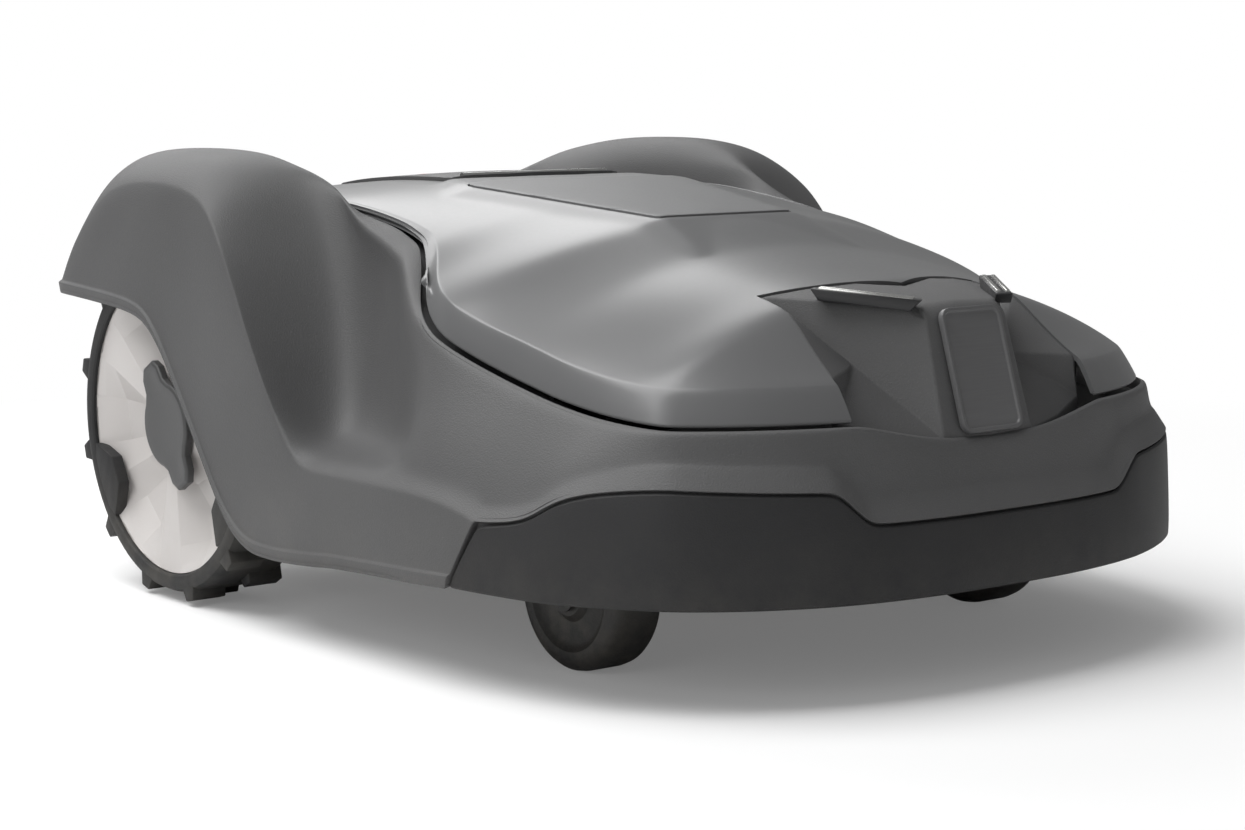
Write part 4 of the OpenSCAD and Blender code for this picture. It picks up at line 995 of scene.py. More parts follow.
@dataclass
class Bumper:
    """Black soft band round the front, with a slanted end on each side."""

    thickness: float = 5.0
    levels: int = 2

    def ring(self, s: Station, lean: float = 0.0, drop: float = 0.0) -> list[Point]:
        """Closed section of the band.

        Args:
            s: Station round the outline.
            lean: How far the section's foot moves back, for the slanted end.
            drop: How far its top comes down, for the rounded corner.

        Returns:
            Its points, from the inner foot round the outside to the inner top.
        """
        base, top = PLAN.bottom_z(s.outer.y), s.shoulder - 1.6 - drop
        t = self.thickness
        ring = [s.from_outer(t, base + 2.5), s.from_outer(2.2, base + 0.2), s.from_outer(0.2, base + 1.8),
                s.from_outer(0.0, base + 12), s.from_outer(0.9, mix(base, top, 0.5)),
                s.from_outer(2.4, top - 6),
                s.from_outer(3.2, top - 1.2), s.from_outer(4.6, top), s.from_outer(t + 2, top - 0.6),
                s.from_outer(t + 0.4, mix(base, top, 0.5))]
        return [(x, y + lean * (top - z) / (top - base), z) for x, y, z in ring]

    def build(self) -> bpy.types.Object:
        """Bridges the sections, closes the ends and mirrors the band.

        Returns:
            The bumper piece.
        """
        bm = creased_mesh()
        stations = [(front_station(a), 0.0, 0.0) for a in ARC_ANGLES] + [
            (side_station(-243), 0.0, 0.0), (side_station(-225), 6.0, 0.0), (side_station(-204), 16.0, 0.0),
            (side_station(-187), 23.0, 0.5), (side_station(-183.4), 24.5, 4.0)]
        rows = [chain(bm, self.ring(*s), closed=True) for s in stations]
        loft(bm, rows, closed=True)
        for index in (0, 1, 2, 6, 7, 8):
            crease_column(bm, rows, index, 0.55)
        end = bmesh.ops.holes_fill(bm, edges=row_edges(bm, rows[-1], closed=True), sides=0)["faces"]
        bmesh.ops.inset_region(bm, faces=end, thickness=0.8 * MM, depth=0.0)
        mirror_x(bm)
        obj = to_object("bumper_band", bm)
        subdivide(obj, self.levels)
        hand_over(obj, BUMPER, "shell", "bumper", "front_bumper")
        return obj


@dataclass
class Cover:
    """Satin top cover with its bevelled rim, cut out for the nose, the panel and the hatch."""

    levels: int = 3
    thickness: float = 3.0
    shares: tuple[float, ...] = (0.05, 0.13, 0.24, 0.37, 0.51, 0.65, 0.79, 0.90, 1.0)
    places: tuple[float, ...] = (
        -243, -225, -202, -182, -162, -146, -130, -115, -99, -78, -56, -34, -18, -5, 8, 25, 45, 66, 90, 113,
        150, 190, 230, 262, 285, 300, 311, 318, 322)
    surface: BVHTree = None

    def middle_y(self, y: float) -> float:
        """Place on the middle line where the row from a seam point ends."""
        return lookup(y, ((-338, -300), (-315, -285), (-270, -245), (-150, -140), (250, 252), (325, 325)))

    def row(self, s: Station) -> list[Point]:
        """Row from the seam over the rim to the middle line."""
        z = s.edge_z
        wide = s.band_w * 0.68
        c = s.seam + s.seam_in * wide
        rise = z + s.band_h - PLAN.spine_z(c.y)
        out = [s.from_seam(2.9, z + 1.2), s.from_seam(1.8, z + 1.7), s.from_seam(1.5, z + 3.0),
               s.from_seam(wide * 0.35, z + s.band_h * 0.40), s.from_seam(wide * 0.8, z + s.band_h * 0.84),
               s.from_seam(wide, z + s.band_h - 0.6)]
        end_y = self.middle_y(s.seam.y)
        for w in self.shares:
            y = mix(c.y, end_y, w)
            out.append((max(0.0, c.x) * (1 - w), y, PLAN.spine_z(y) + rise * (1 - w) ** 2))
        return out

    def ease_spine(self, bm: BMesh) -> None:
        """Rounds the middle line's kinks a little where the table of heights turns."""
        near = [v for v in bm.verts if v.co.x < 0.16 and v.co.y > -0.05 and v.co.z > 0.24]
        smooth_heights(bm, near, 0.4, 2)

    def cut_out(self, bm: BMesh, outline: Sequence[tuple[float, float]]) -> None:
        """Cuts a convex opening, given in plan in millimetres, out of the dense surface."""
        corners = [Vector((x, y)) * MM for x, y in outline]
        for a, b in around_pairs(corners):
            across = Vector((b.y - a.y, a.x - b.x, 0)).normalized()
            mid, reach = (a + b) / 2, (b - a).length / 2 + 0.014
            faces = [f for f in bm.faces if (f.calc_center_median().xy - mid).length < reach]
            geom = list({g for f in faces for g in [*f.verts, *f.edges, f]})
            bmesh.ops.bisect_plane(bm, geom=geom, dist=1e-6, plane_co=(a.x, a.y, 0), plane_no=across)
        inside = [f for f in bm.faces if all((b - a).cross(f.calc_center_median().xy - a) > 0
                                             for a, b in around_pairs(corners))]
        bmesh.ops.delete(bm, geom=inside, context="FACES")

    def build(self) -> bpy.types.Object:
        """Shapes the half surface, makes it dense, cuts the openings and gives it its wall.

        Returns:
            The cover piece.
        """
        bm = creased_mesh()
        stations = [front_station(a) for a in ARC_ANGLES] + [
            side_station(y) for y in self.places]
        rows = [chain(bm, self.row(s)) for s in stations]
        rows.append(chain(bm, self.last_row()))
        loft(bm, rows)
        for index, amount in ((0, 1.0), (1, 0.8), (2, 0.6)):
            crease_column(bm, rows, index, amount)
        crease_column(bm, rows[:-20], 5, 0.9)
        crease_column(bm, rows[-21:], 5, 0.45)
        mirror_x(bm)
        self.ease_spine(bm)
        obj = to_object("top_cover_moulding", bm)
        subdivide(obj, self.levels)
        settle(obj, 60.0)
        bm = bmesh.new()
        bm.from_mesh(obj.data)
        bpy.data.objects.remove(obj)
        self.shape_top(bm)
        bmesh.ops.recalc_face_normals(bm, faces=bm.faces[:])
        if max(bm.faces, key=lambda f: f.calc_center_median().z).normal.z < 0:
            bmesh.ops.reverse_faces(bm, faces=bm.faces[:])
        self.surface = BVHTree.FromBMesh(bm)
        for opening in self.openings():
            self.cut_out(bm, opening)
        bmesh.ops.dissolve_degenerate(bm, dist=1e-5, edges=bm.edges[:])
        obj = to_object("top_cover_moulding", bm, 60.0)
        thicken(obj, self.thickness, 50.0)
        hand_over(obj, COVER, "shell", "cover", "top_cover")
        return obj

    def last_row(self) -> list[Point]:
        """Row on the middle line at the rear."""
        z = PLAN.top_z - 51
        top = [(0.0, mix(313.0, 312.6, w), z + 5 - 0.2 * w) for w in self.shares]
        return [(0.0, 321.0, z + 1.0), (0.0, 324.4, z + 1.2), (0.0, 324.1, z + 1.6), (0.0, 320.4, z + 2.4),
                (0.0, 316.0, z + 4), (0.0, 314.0, z + 4.6)] + top

    def openings(self) -> list[list[tuple[float, float]]]:
        """Convex openings for the nose, the panel's groove and the hatch, in plan."""
        nose_right = [(-103.0, -370), (0, -370), (0, -260.2), (-91.8, -230.0), (-103.0, -313)]
        nose_left = [(-x, y) for x, y in reversed(nose_right)]
        groove = 1.1
        panel = [(x + math.copysign(groove, x), y + (groove if y > 70 else -groove if y < -80 else 0.4))
                 for x, y in PANEL_OUTLINE]
        gap = 0.9
        hatch = [(x + math.copysign(gap, x), y + math.copysign(gap, y - 190)) for x, y in HATCH_OUTLINE]
        return [nose_right, nose_left, panel, hatch]

    def shape_top(self, bm: BMesh) -> None:
        """Raises the flat that carries the panel, with its facet towards the nose."""
        for v in bm.verts:
            x, y, z = (c / MM for c in v.co)
            if z < 225 or not -190 < y < 112:
                continue
            half = lookup(y, ((-149, 67), (-96, 57), (62, 95), (81, 90), (112, 80)))
            flat = lookup(y, ((-149, 249), (-96, 269.2), (81, 287), (110, 288.4)))
            outside = max(0.0, abs(x) - half)
            wanted = flat - 0.30 * outside - 0.5 * max(0.0, -149 - y)
            v.co.z += max(0.0, wanted - z) * MM
        near = [v for v in bm.verts if abs(v.co.x) < 0.125 and -0.19 < v.co.y < 0.115 and v.co.z > 0.22]
        smooth_heights(bm, near, 0.5, 5)

    def height(self, x: float, y: float) -> float:
        """Height of the uncut surface, in millimetres."""
        hit = self.surface.ray_cast(Vector((x * MM, y * MM, 0.5)), Vector((0, 0, -1)))
        return hit[0].z / MM if hit[0] is not None else PLAN.spine_z(y)


PANEL_OUTLINE: tuple[tuple[float, float], ...] = (
    (-55, -94), (55, -94), (58, -91.5), (94.6, 60), (94.4, 66), (91, 71), (62, 81), (-62, 81), (-91, 71),
    (-94.4, 66), (-94.6, 60), (-58, -91.5))
HATCH_OUTLINE: tuple[tuple[float, float], ...] = (
    (-66, 113), (66, 113), (73, 116), (76, 123), (76, 257), (73, 264), (66, 267.5), (-66, 267.5), (-73, 264),
    (-76, 257), (-76, 123), (-73, 116))


DISH_SLOPE = 3.0
STOP_DISH = (0.0, 228.0, 31.2, 9.4)


@dataclass
class Inlay:
    """A thin moulded lid that follows the cover's surface: the blank panel or the hatch."""

    name: str
    outline: tuple
    finish: Finish
    body: str
    slot: str
    node: str
    raised: float
    thickness: float
    edge: float = 0.8
    cells: int = 26
    dish: tuple = None                  # x, y, radius and depth of a round hollow

    def hollow(self, x: float, y: float) -> float:
        """Depth of the round hollow at a place, in millimetres."""
        if self.dish is None:
            return 0.0
        cx, cy, radius, depth = self.dish
        t = min(1.0, max(0.0, (radius + DISH_SLOPE - math.hypot(x - cx, y - cy)) / DISH_SLOPE))
        return depth * t * t * (3 - 2 * t)

    def build(self, cover: Cover) -> bpy.types.Object:
        """Cuts a fine grid to the outline, lays it on the cover and gives it thickness.

        Args:
            cover: The cover that carries it.

        Returns:
            The piece.
        """
        bm = bmesh.new()
        xs, ys = [p[0] for p in self.outline], [p[1] for p in self.outline]
        half = Vector(((max(xs) - min(xs)) / 2 + 2, (max(ys) - min(ys)) / 2 + 2, 1)) * MM
        mid = Vector(((max(xs) + min(xs)) / 2, (max(ys) + min(ys)) / 2, 0)) * MM
        bmesh.ops.create_grid(bm, x_segments=self.cells, y_segments=self.cells, size=1.0,
                              matrix=Matrix.Translation(mid) @ Matrix.Diagonal((half.x, half.y, 1, 1)))
        corners = [Vector(p) * MM for p in self.outline]
        for a, b in around_pairs(corners):
            out = Vector((b.y - a.y, a.x - b.x, 0)).normalized()
            bmesh.ops.bisect_plane(bm, geom=bm.verts[:] + bm.edges[:] + bm.faces[:], dist=1e-6,
                                   plane_co=(a.x, a.y, 0), plane_no=out, clear_outer=True)
        bmesh.ops.dissolve_degenerate(bm, dist=1e-5, edges=bm.edges[:])
        for v in bm.verts:
            x, y = v.co.x / MM, v.co.y / MM
            v.co.z = (cover.height(x, y) + self.raised - self.hollow(x, y)) * MM
        bmesh.ops.smooth_vert(bm, verts=bm.verts[:], factor=0.5, use_axis_z=True)
        grown = bmesh.ops.extrude_face_region(bm, geom=bm.faces[:], use_keep_orig=True)
        low = [g for g in grown["geom"] if isinstance(g, BMVert)]
        bmesh.ops.translate(bm, verts=low, vec=Vector((0, 0, -self.thickness * MM)))
        bmesh.ops.recalc_face_normals(bm, faces=bm.faces[:])
        rim = [e for e in sharp_edges(bm, 50) if all(v not in set(low) for v in e.verts)]
        soften(bm, rim, self.edge)
        obj = to_object(self.name, bm, 35.0)
        hand_over(obj, self.finish, self.body, self.slot, self.node)
        return obj


# ---------------------------------------------------------------- nose, contacts, hatch


@dataclass
class Nose:
    """Faceted block at the front with its bare badge plate."""

    front_w: float = 33.0
    rear_w: float = 90.0
    under: float = 0.4                  # how far its rim lies below the cover

    def half(self, bm: BMesh, cover: Cover) -> None:
        """Lays the facets of one half: top, front, flank, foot and the lip tucked under the cover.

        Args:
            bm: Mesh of the nose.
            cover: The cover, whose cut edge the nose meets.
        """

        def edge(p: tuple[float, float], q: tuple[float, float], *shares: float) -> list[BMVert]:
            spots = [(mix(p[0], q[0], t), mix(p[1], q[1], t)) for t in shares]
            return [bm.verts.new(Vector((x, y, cover.height(x, y) - self.under)) * MM) for x, y in spots]

        at = {k: bm.verts.new(Vector(p) * MM) for k, p in {
            "a": (self.front_w, -314, 225), "a0": (0, -315, 226.6), "e": (37, -336.8, 149),
            "e0": (0, -338.8, 149),
            "m": (62, -284, 190), "g": (40, -340, 131), "g0": (0, -341.6, 131), "p": (72, -325, 152.6),
            "q": (72, -325, 140), "d": (102.2, -314.4, 162), "n": (102.2, -312, 148)}.items()}
        back = edge((0, -262.6), (self.rear_w, -232.8), 0.0, 0.35, 0.7, 1.0)
        side = edge((self.rear_w + 0.4, -232.4), (102.0, -313.8),
                    0.12, 0.25, 0.38, 0.5, 0.62, 0.74, 0.86, 0.95)
        tuck = [Vector((0, 3.6, -4.4))] * 3 + [Vector((3.2, 3.2, -4.4))]
        tuck += [Vector((4.2, 0.6, -4.4))] * len(side)
        under = [bm.verts.new(v.co + away * MM) for v, away in zip(back + side, tuck)]
        faces = [[at[k] for k in corners.split()] for corners in (
            "a0 e0 e a", "a e m", "m e p d", "e0 g0 g e", "e g q p", "p q n d")]
        faces += [[at["a0"], back[0], back[1], at["a"]], [at["a"], back[1], back[2]],
                  [at["a"], back[2], back[3]],
                  [at["a"], back[3], at["m"]]]
        rim = back + side
        faces += [[at["m"], p, q] for p, q in zip([back[3], *side], [*side, at["d"]])]
        faces += [[p, pu, qu, q] for p, q, pu, qu in zip(rim, rim[1:], under, under[1:])]
        faces.append([side[-1], under[-1], at["n"], at["d"]])
        for corners in faces:
            bm.faces.new(corners)

    def build(self, cover: Cover) -> bpy.types.Object:
        """Mirrors the facets and rounds their edges.

        Args:
            cover: The cover round the nose.

        Returns:
            The nose piece.
        """
        bm = bmesh.new()
        self.half(bm, cover)
        mirror_x(bm)
        bmesh.ops.triangulate(bm, faces=[f for f in bm.faces if len(f.verts) > 4])
        top = [e for e in bm.edges if len(e.link_faces) == 2 and all(
            abs(v.co.y + 0.3145) < 0.0012 and v.co.z > 0.22 for v in e.verts)]
        soften(bm, top, 9.0, 5)
        soften(bm, sharp_edges(bm, 14), 3.2, 4)
        bmesh.ops.recalc_face_normals(bm, faces=bm.faces[:])
        obj = to_object("nose_moulding", bm, 60.0)
        hand_over(obj, SHELL, "shell", "shell", "nose_block")
        return obj

    def build_plate(self) -> bpy.types.Object:
        """Makes the bare badge plate: a rounded plate with a raised rim.

        Returns:
            The plate piece.
        """
        bm = bmesh.new()
        w, h = 25.0, 38.0
        top = plate(bm, [(-w, -h, 0), (w, -h, 0), (w, h, 0), (-w, h, 0)], Vector((0, 0, 4.0)), corner=7.0)
        bmesh.ops.inset_region(bm, faces=top, thickness=2.2 * MM, depth=0.0)
        bmesh.ops.inset_region(bm, faces=top, thickness=0.7 * MM, depth=-1.5 * MM)
        soften(bm, sharp_edges(bm, 50), 0.45)
        lean = math.atan2(23.6, 75.0)
        place = (Matrix.Translation(Vector((0, -327.0, 187.2)) * MM)
                 @ Matrix.Rotation(math.pi / 2 - lean, 4, "X"))
        bmesh.ops.transform(bm, matrix=place, verts=bm.verts[:])
        obj = to_object("nose_badge_plate", bm, 30.0)
        hand_over(obj, BADGE, "shell", "badge", "nose_plate")
        return obj


@dataclass
class Contact:
    """Charging contact on one side of the nose: a black holder with two bright bars."""

    side: Side
    length: float = 66.0
    width: float = 10.5
    height: float = 7.0

    def place(self) -> Matrix:
        """Pose of the holder on the nose's upper edge."""
        turn = Matrix.Rotation(math.radians(53.5), 4, "Z") @ Matrix.Rotation(math.radians(-5), 4, "Y")
        pose = Matrix.Translation(Vector((55, -287, 229.4)) * MM) @ turn
        return pose if self.side is Side.LEFT else Matrix.Diagonal((-1, 1, 1, 1)) @ pose

    @staticmethod
    def block(bm: BMesh, size: tuple[float, float, float], at: Point) -> None:
        """Adds a block in the holder's own frame, in millimetres."""
        bmesh.ops.create_cube(bm, size=1.0, matrix=Matrix.Translation(Vector(at) * MM)
                              @ Matrix.Diagonal((*(s * MM for s in size), 1)))

    def build(self) -> list[bpy.types.Object]:
        """Makes the holder, with sloped ends, and the bars.

        Returns:
            The two pieces.
        """
        bm = bmesh.new()
        self.block(bm, (self.length, self.width, self.height), (0, 0, 0))
        soften(bm, bm.edges[:], 0.9)
        for v in bm.verts:
            if v.co.z < 0:
                v.co.x *= 0.86
        bmesh.ops.transform(bm, matrix=self.place(), verts=bm.verts[:])
        bmesh.ops.recalc_face_normals(bm, faces=bm.faces[:])
        holder = to_object(f"contact_holder_{self.side.tag}_moulding", bm)
        hand_over(holder, HOLDER, "shell", "holder", f"contact_holder_{self.side.tag}")
        bars = bmesh.new()
        for k in (-1, 1):
            self.block(bars, (self.length - 9, 2.7, 2.2), (0, k * 2.9, self.height / 2))
        soften(bars, bars.edges[:], 0.6)
        bmesh.ops.transform(bars, matrix=self.place(), verts=bars.verts[:])
        bmesh.ops.recalc_face_normals(bars, faces=bars.faces[:])
        strip = to_object(f"contact_strip_{self.side.tag}_bars", bars)
        hand_over(strip, CONTACT, "shell", "contact", f"contact_strip_{self.side.tag}")
        return [holder, strip]


@dataclass
class StopButton:
    """Big round stop button in its hollow in the hatch, too low to show from the front."""

    sunk: float = 5.9

    def build(self) -> bpy.types.Object:
        """Turns the button's domed profile to fit the solid's box.

        Returns:
            The button piece.
        """
        low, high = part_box("stop_button")
        cx, cy = (low.x + high.x) / 2 / MM, (low.y + high.y) / 2 / MM
        r, z0, z1 = (high.x - low.x) / 2 / MM, low.z / MM + 1.0, high.z / MM - self.sunk
        bm = bmesh.new()
        profile = [(z0, 0), (z0, r - 1.2), (z0 + 0.8, r - 0.2), (z1 - 3.2, r), (z1 - 1.4, r - 0.6),
                   (z1 - 0.5, r - 1.8),
                   (z1 - 0.1, r - 3.4), (z1 - 1.5, r - 6), (z1 - 2.0, r - 12), (z1 - 2.2, 0)]
        spun(bm, profile, (cx, cy, 0), "Z", 72)
        obj = to_object("stop_button_cap", bm, 40.0)
        hand_over(obj, STOP, "stop", "stop", "stop_button")
        return obj


# ---------------------------------------------------------------- wheels


@dataclass
class DriveWheel:
    """Rear wheel of one side: lugged tyre, faceted white hub and dark cap."""

    side: Side
    axle_y: float = 183.0
    axle_z: float = 122.0
    face_x: float = 272.0
    width: float = 56.0
    carcass_r: float = 115.5
    lug_r: float = 122.0
    rim_r: float = 102.6
    lugs: int = 12
    block_angles: tuple[float, ...] = (-29.0, 91.0, 211.0)
    spoke_angle: float = 31.0
    # depth below the tyre's face of the hub by radius, at 0, 9, 25, 45 and 60 degrees off a spoke's middle
    depths: tuple = (
        (102.2, (4.6, 4.6, 4.6, 4.6, 4.6)), (97.0, (5.6, 5.6, 8.6, 9.0, 8.0)),
        (84.0, (6.4, 6.4, 18.0, 20.0, 12.0)), (62.0, (6.8, 6.8, 23.0, 27.0, 19.0)),
        (44.0, (7.2, 7.2, 17.0, 24.0, 21.0)), (30.0, (8.0, 8.0, 9.0, 10.0, 10.0)))

    def around(self, x: float, r: float, degrees: float) -> Point:
        """Point at a radius and angle round the axle."""
        a = math.radians(degrees)
        return (x, self.axle_y + r * math.cos(a), self.axle_z + r * math.sin(a))

    def finish_side(self, bm: BMesh) -> None:
        """Mirrors the mesh for a wheel on the right and turns its faces outwards."""
        if self.side is Side.RIGHT:
            bmesh.ops.scale(bm, vec=(-1, 1, 1), verts=bm.verts[:])
        bmesh.ops.recalc_face_normals(bm, faces=bm.faces[:])

    def hand(self, bm: BMesh, name: str, finish: Finish, slot: str, node: str,
             sharp: float = 35.0) -> bpy.types.Object:
        """Makes the piece of a mesh drawn for the left wheel.

        Args:
            bm: The mesh.
            name: Start of the piece's name.
            finish: Its finish.
            slot: Its material slot.
            node: Start of the name of the solid that it replaces.
            sharp: Angle above which its edges stay sharp.

        Returns:
            The piece.
        """
        self.finish_side(bm)
        obj = to_object(f"{name}_{self.side.tag}", bm, sharp)
        hand_over(obj, finish, f"drive_wheel_{self.side.tag}", slot, f"{node}_{self.side.tag}")
        return obj

    def tyre(self) -> bpy.types.Object:
        """Turns the carcass and sets the lugs and side blocks on it.

        Returns:
            The tyre piece.
        """
        bm = bmesh.new()
        o, i, r = self.face_x, self.face_x - self.width, self.carcass_r
        spun(bm, [(i + 2, 103), (i, 105), (i, 109), (i + 2, r - 2), (i + 6, r), (i + 28, r + 0.6), (o - 6, r),
                  (o - 1.8, r - 1.8), (o - 0.3, r - 4.5), (o, r - 8), (o - 0.6, 104.4),
                  (o - 1.6, 103.3), (o - 4, 103),
                  (o - 30, 103.4)], (0, self.axle_y, self.axle_z), "X", 96, closed=True)
        for k in range(self.lugs):
            for row in (0, 1):
                self.lug(bm, -90 + (k + row / 2) * 360 / self.lugs, i + 1 + row * self.width / 2)
        for angle in self.block_angles:
            self.side_block(bm, angle)
        return self.hand(bm, "tyre_tread", TYRE, "tyre", "tyre", 30.0)

    def lug(self, bm: BMesh, degrees: float, x: float) -> None:
        """Adds one tapered lug of the tread.

        Args:
            bm: Mesh of the tyre.
            degrees: Place round the wheel.
            x: Inner side of its row.
        """
        made = bmesh.ops.create_cube(bm, size=1.0)["verts"]
        edges = list({e for v in made for e in v.link_edges})
        grown = self.lug_r - self.carcass_r + 5
        for v in made:
            outer = v.co.z > 0
            taper = 0.72 if outer else 1.25
            v.co = Vector(((x + (0.5 + v.co.x) * (self.width / 2 - 2)) * MM, v.co.y * 13.5 * taper * MM,
                           (self.carcass_r - 5 + (grown if outer else 0)) * MM))
        turn = Matrix.Rotation(math.radians(degrees - 90), 4, "X")
        bmesh.ops.transform(bm, matrix=Matrix.Translation(Vector((0, self.axle_y, self.axle_z)) * MM) @ turn,
                            verts=made)
        soften(bm, edges, 1.0)

    def side_block(self, bm: BMesh, degrees: float) -> None:
        """Adds one block of the tyre that reaches in over the hub.

        Args:
            bm: Mesh of the tyre.
            degrees: Its middle.
        """
        part = bmesh.new()
        x = self.face_x - 9.5
        outline = [self.around(x, 82, degrees - 7.2), self.around(x, 82, degrees + 7.2)]
        outline += [self.around(x, 106 if abs(t) < 16 else 102.5, degrees + t)
                    for t in (16, 11, 5, 0, -5, -11, -16)]
        plate(part, outline, Vector((9.0, 0, 0)))
        soften(part, sharp_edges(part, 40), 1.1)
        mesh = bpy.data.meshes.new("side_block")
        part.to_mesh(mesh)
        part.free()
        bm.from_mesh(mesh)
        bpy.data.meshes.remove(mesh)

    def hub(self) -> bpy.types.Object:
        """Lofts the hub's facets round the axle and closes its back.

        Returns:
            The hub piece.
        """
        bm = bmesh.new()
        steps = (0, 9, 25, 45, 60, 75, 95, 111)
        order = (0, 1, 2, 3, 4, 3, 2, 1)

        def ring(r: float, depths: Sequence[float]) -> list[BMVert]:
            return chain(bm, [self.around(self.face_x - depth, r, self.spoke_angle + 120 * k + step)
                              for k in range(3) for step, depth in zip(steps, depths)], closed=True)

        rings = [ring(r, [depth[n] for n in order]) for r, depth in self.depths]
        back = [ring(r, [x] * len(steps))
                for x, r in ((3.6, 102.4), (31.0, 102.4), (31.0, 22.0), (44.0, 20.0), (44.0, 7.3))]
        loft(bm, [*reversed(back), *rings], closed=True)
        inner = ring(7.3, [9.5] * len(steps))
        loft(bm, [rings[-1], inner], closed=True)
        bmesh.ops.bridge_loops(bm, edges=row_edges(bm, inner, True) + row_edges(bm, back[-1], True))
        bmesh.ops.recalc_face_normals(bm, faces=bm.faces[:])
        fold = [e for e in sharp_edges(bm, 9) if all(v.co.x > (self.face_x - 19) * MM for v in e.verts)]
        bmesh.ops.subdivide_edges(bm, edges=row_edges(bm, rings[0], True) + row_edges(bm, back[0], True)
                                  + row_edges(bm, back[1], True), cuts=3, use_grid_fill=True)
        for v in bm.verts:
            dy, dz = v.co.y - self.axle_y * MM, v.co.z - self.axle_z * MM
            r = math.hypot(dy, dz) / MM
            if 99.5 < r < 102.3:
                scale = 102.4 / r
                v.co.y, v.co.z = self.axle_y * MM + dy * scale, self.axle_z * MM + dz * scale
        soften(bm, [e for e in fold if e.is_valid], 0.9)
        return self.hand(bm, "hub_face", DISC, "disc", "wheel_disc", 20.0)

    def cap(self) -> bpy.types.Object:
        """Makes the hub cap: a round boss with two arms.

        Returns:
            The cap piece.
        """
        bm = bmesh.new()
        boss = [(29.5 * math.cos(math.radians(a)), 29.5 * math.sin(math.radians(a)))
                for a in range(36, 145, 9)]
        local = [(46, -7), (46, 7), (39, 12.5), (29, 13.5)]
        local += boss
        local += [(-29, 13.5), (-39, 12.5), (-46, 7), (-46, -7), (-39, -12.5), (-29, -13.5)]
        local += [(u, -v) for u, v in reversed(boss)]
        local += [(29, -13.5), (39, -12.5)]
        c, s = math.cos(math.radians(60)), math.sin(math.radians(60))
        x = self.face_x - 8.0
        outline = [(x, self.axle_y + u * c - v * s, self.axle_z + u * s + v * c) for u, v in local]
        top = plate(bm, outline, Vector((5.0, 0, 0)))
        bmesh.ops.inset_region(bm, faces=top, thickness=2.2 * MM, depth=1.3 * MM)
        bmesh.ops.inset_region(bm, faces=top, thickness=5.5 * MM, depth=-0.5 * MM)
        soften(bm, sharp_edges(bm, 25), 0.6)
        return self.hand(bm, "hub_cap_boss", CAP, "cap", "hub_cap", 30.0)

    def build(self) -> None:
        """Builds the three pieces of the wheel."""
        self.tyre()
        self.hub()
        self.cap()


@dataclass
class CasterWheel:
    """Solid front wheel of one side."""

    side: Side

    def build(self) -> bpy.types.Object:
        """Turns the wheel's profile, with a crowned tread and a dished outer face.

        Returns:
            The wheel piece.
        """
        low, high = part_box(f"caster_wheel_{self.side.tag}")
        r, y, z = (high.z - low.z) / 2 / MM, (low.y + high.y) / 2 / MM, (low.z + high.z) / 2 / MM
        a, b = low.x / MM, high.x / MM
        bm = bmesh.new()
        half = [(0.0, 6.1), (0.0, 15.0), (1.6, 17.0), (3.4, 19.0), (3.8, 32.0), (2.4, 35.0), (0.4, 37.5),
                (0.0, 41.0),
                (0.6, r - 5.4), (2.0, r - 2.8), (4.6, r - 0.9), (9.0, r - 0.1)]
        profile = [(a + d, q) for d, q in half] + [(b - d, q) for d, q in reversed(half)]
        spun(bm, profile, (0, y, z), "X", 72, closed=True)
        obj = to_object(f"caster_tread_{self.side.tag}", bm, 30.0)
        hand_over(obj, ROLLER, f"roller_{self.side.tag}", "roller", f"caster_wheel_{self.side.tag}")
        return obj


# ---------------------------------------------------------------- solids that stay, and the studio


@dataclass(frozen=True)
class KeptSolids:
    """Solids whose shape is right; they only get their finish."""

    def dress(self) -> None:
        """Puts each slot's finish on the solids that carry it."""
        slots = {p["node"]: p["material_slot"] for p in frame["record"]["subparts"]}
        for name, obj in frame["nodes"].items():
            finish = SLOT_FINISH[slots[name]]
            if not obj.material_slots:
                obj.data.materials.append(None)
            for held in obj.material_slots:
                held.material = finish.material()


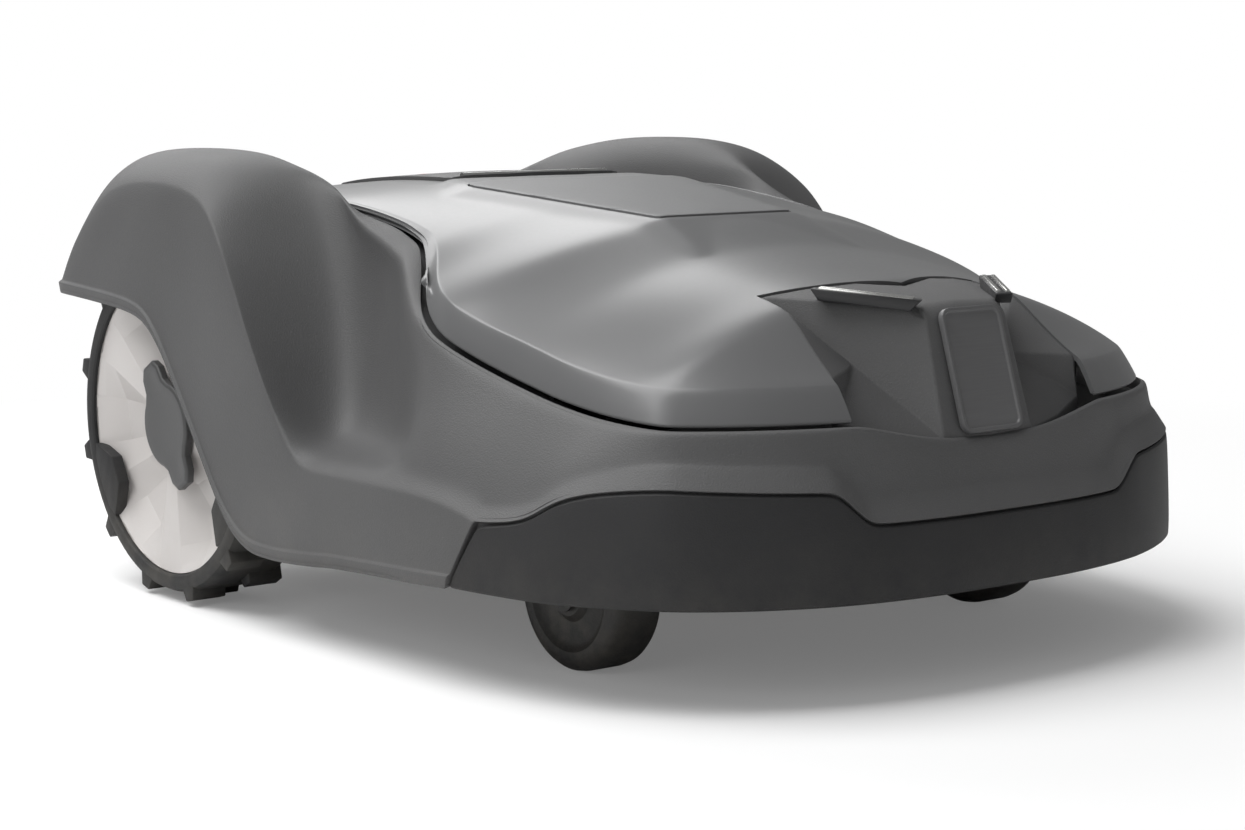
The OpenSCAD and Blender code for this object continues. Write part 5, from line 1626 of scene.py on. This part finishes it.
@dataclass
class Studio:
    """Pale floor, soft lamps, white background and the camera of the photograph."""

    focal: float = 77.71
    place: Point = (-1.1527, -1.4494, 0.3719)
    target: Point = (-0.01337, 0.0, 0.12679)
    roll: float = 0.07
    floor_size: float = 14.0
    lamps: tuple = (("key_lamp", (-1.1, 0.5, 2.7), (2.4, 2.4), 92.0),
                    ("side_lamp", (-2.7, -0.7, 1.3), (1.6, 1.4), 12.0),
                    ("rear_lamp", (0.6, 2.6, 2.0), (2.8, 1.4), 36.0))

    def floor(self) -> bpy.types.Object:
        """Makes the pale floor that catches the shadow.

        Returns:
            The floor.
        """
        bm = bmesh.new()
        bmesh.ops.create_grid(bm, x_segments=8, y_segments=8, size=self.floor_size)
        obj = to_object("studio_floor", bm)
        mat = bpy.data.materials.new("floor_white")
        mat.use_nodes = True
        g = Graph(mat.node_tree)
        diffuse = g.add("BsdfDiffuse")
        diffuse.inputs["Color"].default_value = (0.80, 0.80, 0.80, 1)
        glow = g.add("Emission", Strength=0.15)
        white = g.add("Emission", Strength=1.0)
        added, faded, seen = g.add("AddShader"), g.add("MixShader"), g.add("MixShader")
        path, away = g.add("LightPath"), g.add("VectorMath", operation="LENGTH")
        g.join(g.add("TexCoord").outputs["Object"], away.inputs[0])
        g.join(diffuse.outputs[0], added.inputs[0])
        g.join(glow.outputs[0], added.inputs[1])
        g.join(g.ramp(away.outputs["Value"], 0.55, 1.25), faded.inputs[0])
        g.join(added.outputs[0], faded.inputs[1])
        g.join(white.outputs[0], faded.inputs[2])
        g.join(path.outputs["Is Camera Ray"], seen.inputs[0])
        g.join(diffuse.outputs[0], seen.inputs[1])
        g.join(faded.outputs[0], seen.inputs[2])
        g.join(seen.outputs[0], g.add("OutputMaterial").inputs[0])
        obj.data.materials.append(mat)
        return obj

    def lamp(self, name: str, place: Point, size: tuple[float, float], watts: float) -> None:
        """Adds one soft area lamp aimed at the mower.

        Args:
            name: Name of the lamp.
            place: Where it hangs, in metres.
            size: Its width and height, in metres.
            watts: Its power.
        """
        data = bpy.data.lights.new(name, "AREA")
        data.shape = "RECTANGLE"
        data.size, data.size_y = size
        data.energy = watts
        obj = bpy.data.objects.new(name, data)
        obj.location = place
        obj.rotation_euler = (Vector((0, 0, 0.15)) - Vector(place)).to_track_quat("-Z", "Y").to_euler()
        bpy.context.scene.collection.objects.link(obj)

    def world(self) -> None:
        """Sets the pale surroundings: white where the camera sees them, dim white for all other rays."""
        world = bpy.data.worlds.new("studio_world")
        bpy.context.scene.world = world
        world.use_nodes = True
        g = Graph(world.node_tree)
        lit = g.add("Background", Strength=0.24)
        lit.inputs["Color"].default_value = (1, 1, 1, 1)
        seen = g.add("Background", Strength=1.0)
        seen.inputs["Color"].default_value = (1, 1, 1, 1)
        path, chosen = g.add("LightPath"), g.add("MixShader")
        g.join(path.outputs["Is Camera Ray"], chosen.inputs[0])
        g.join(lit.outputs[0], chosen.inputs[1])
        g.join(seen.outputs[0], chosen.inputs[2])
        g.join(chosen.outputs[0], g.add("OutputWorld").inputs[0])

    def camera(self) -> None:
        """Sets the camera where the photograph was taken from."""
        data = bpy.data.cameras.new("photo_camera")
        data.lens = self.focal
        data.sensor_width = 36.0
        data.sensor_fit = "HORIZONTAL"
        data.clip_start = 0.05
        obj = bpy.data.objects.new("photo_camera", data)
        obj.location = self.place
        aim = (Vector(self.target) - Vector(self.place)).to_track_quat("-Z", "Y").to_matrix().to_4x4()
        obj.rotation_euler = (aim @ Matrix.Rotation(math.radians(-self.roll), 4, "Z")).to_euler()
        bpy.context.scene.collection.objects.link(obj)
        bpy.context.scene.camera = obj

    def build(self) -> None:
        """Sets up the whole studio."""
        bpy.context.scene.view_settings.view_transform = "Standard"
        self.camera()
        self.floor()
        self.world()
        for values in self.lamps:
            self.lamp(*values)


def main() -> None:
    """Builds the mower's sub-assemblies in order."""
    logging.basicConfig(level=logging.INFO, format="%(name)s %(message)s")
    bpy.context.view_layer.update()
    Studio().build()
    KeptSolids().dress()
    Shell().build()
    Bumper().build()
    cover = Cover()
    cover.build()
    Inlay("top_panel_blank", PANEL_OUTLINE, PANEL, "shell", "panel", "top_panel", 0.9, 3.2).build(cover)
    Inlay("hatch_cover", HATCH_OUTLINE, HATCH, "hatch", "hatch", "hatch_lid", 2.6, 4.5, edge=1.6,
          cells=72, dish=STOP_DISH).build(cover)
    nose = Nose()
    nose.build(cover)
    nose.build_plate()
    StopButton().build()
    for side in Side:
        Contact(side).build()
        DriveWheel(side).build()
        CasterWheel(side).build()


if __name__ == "__main__":
    main()
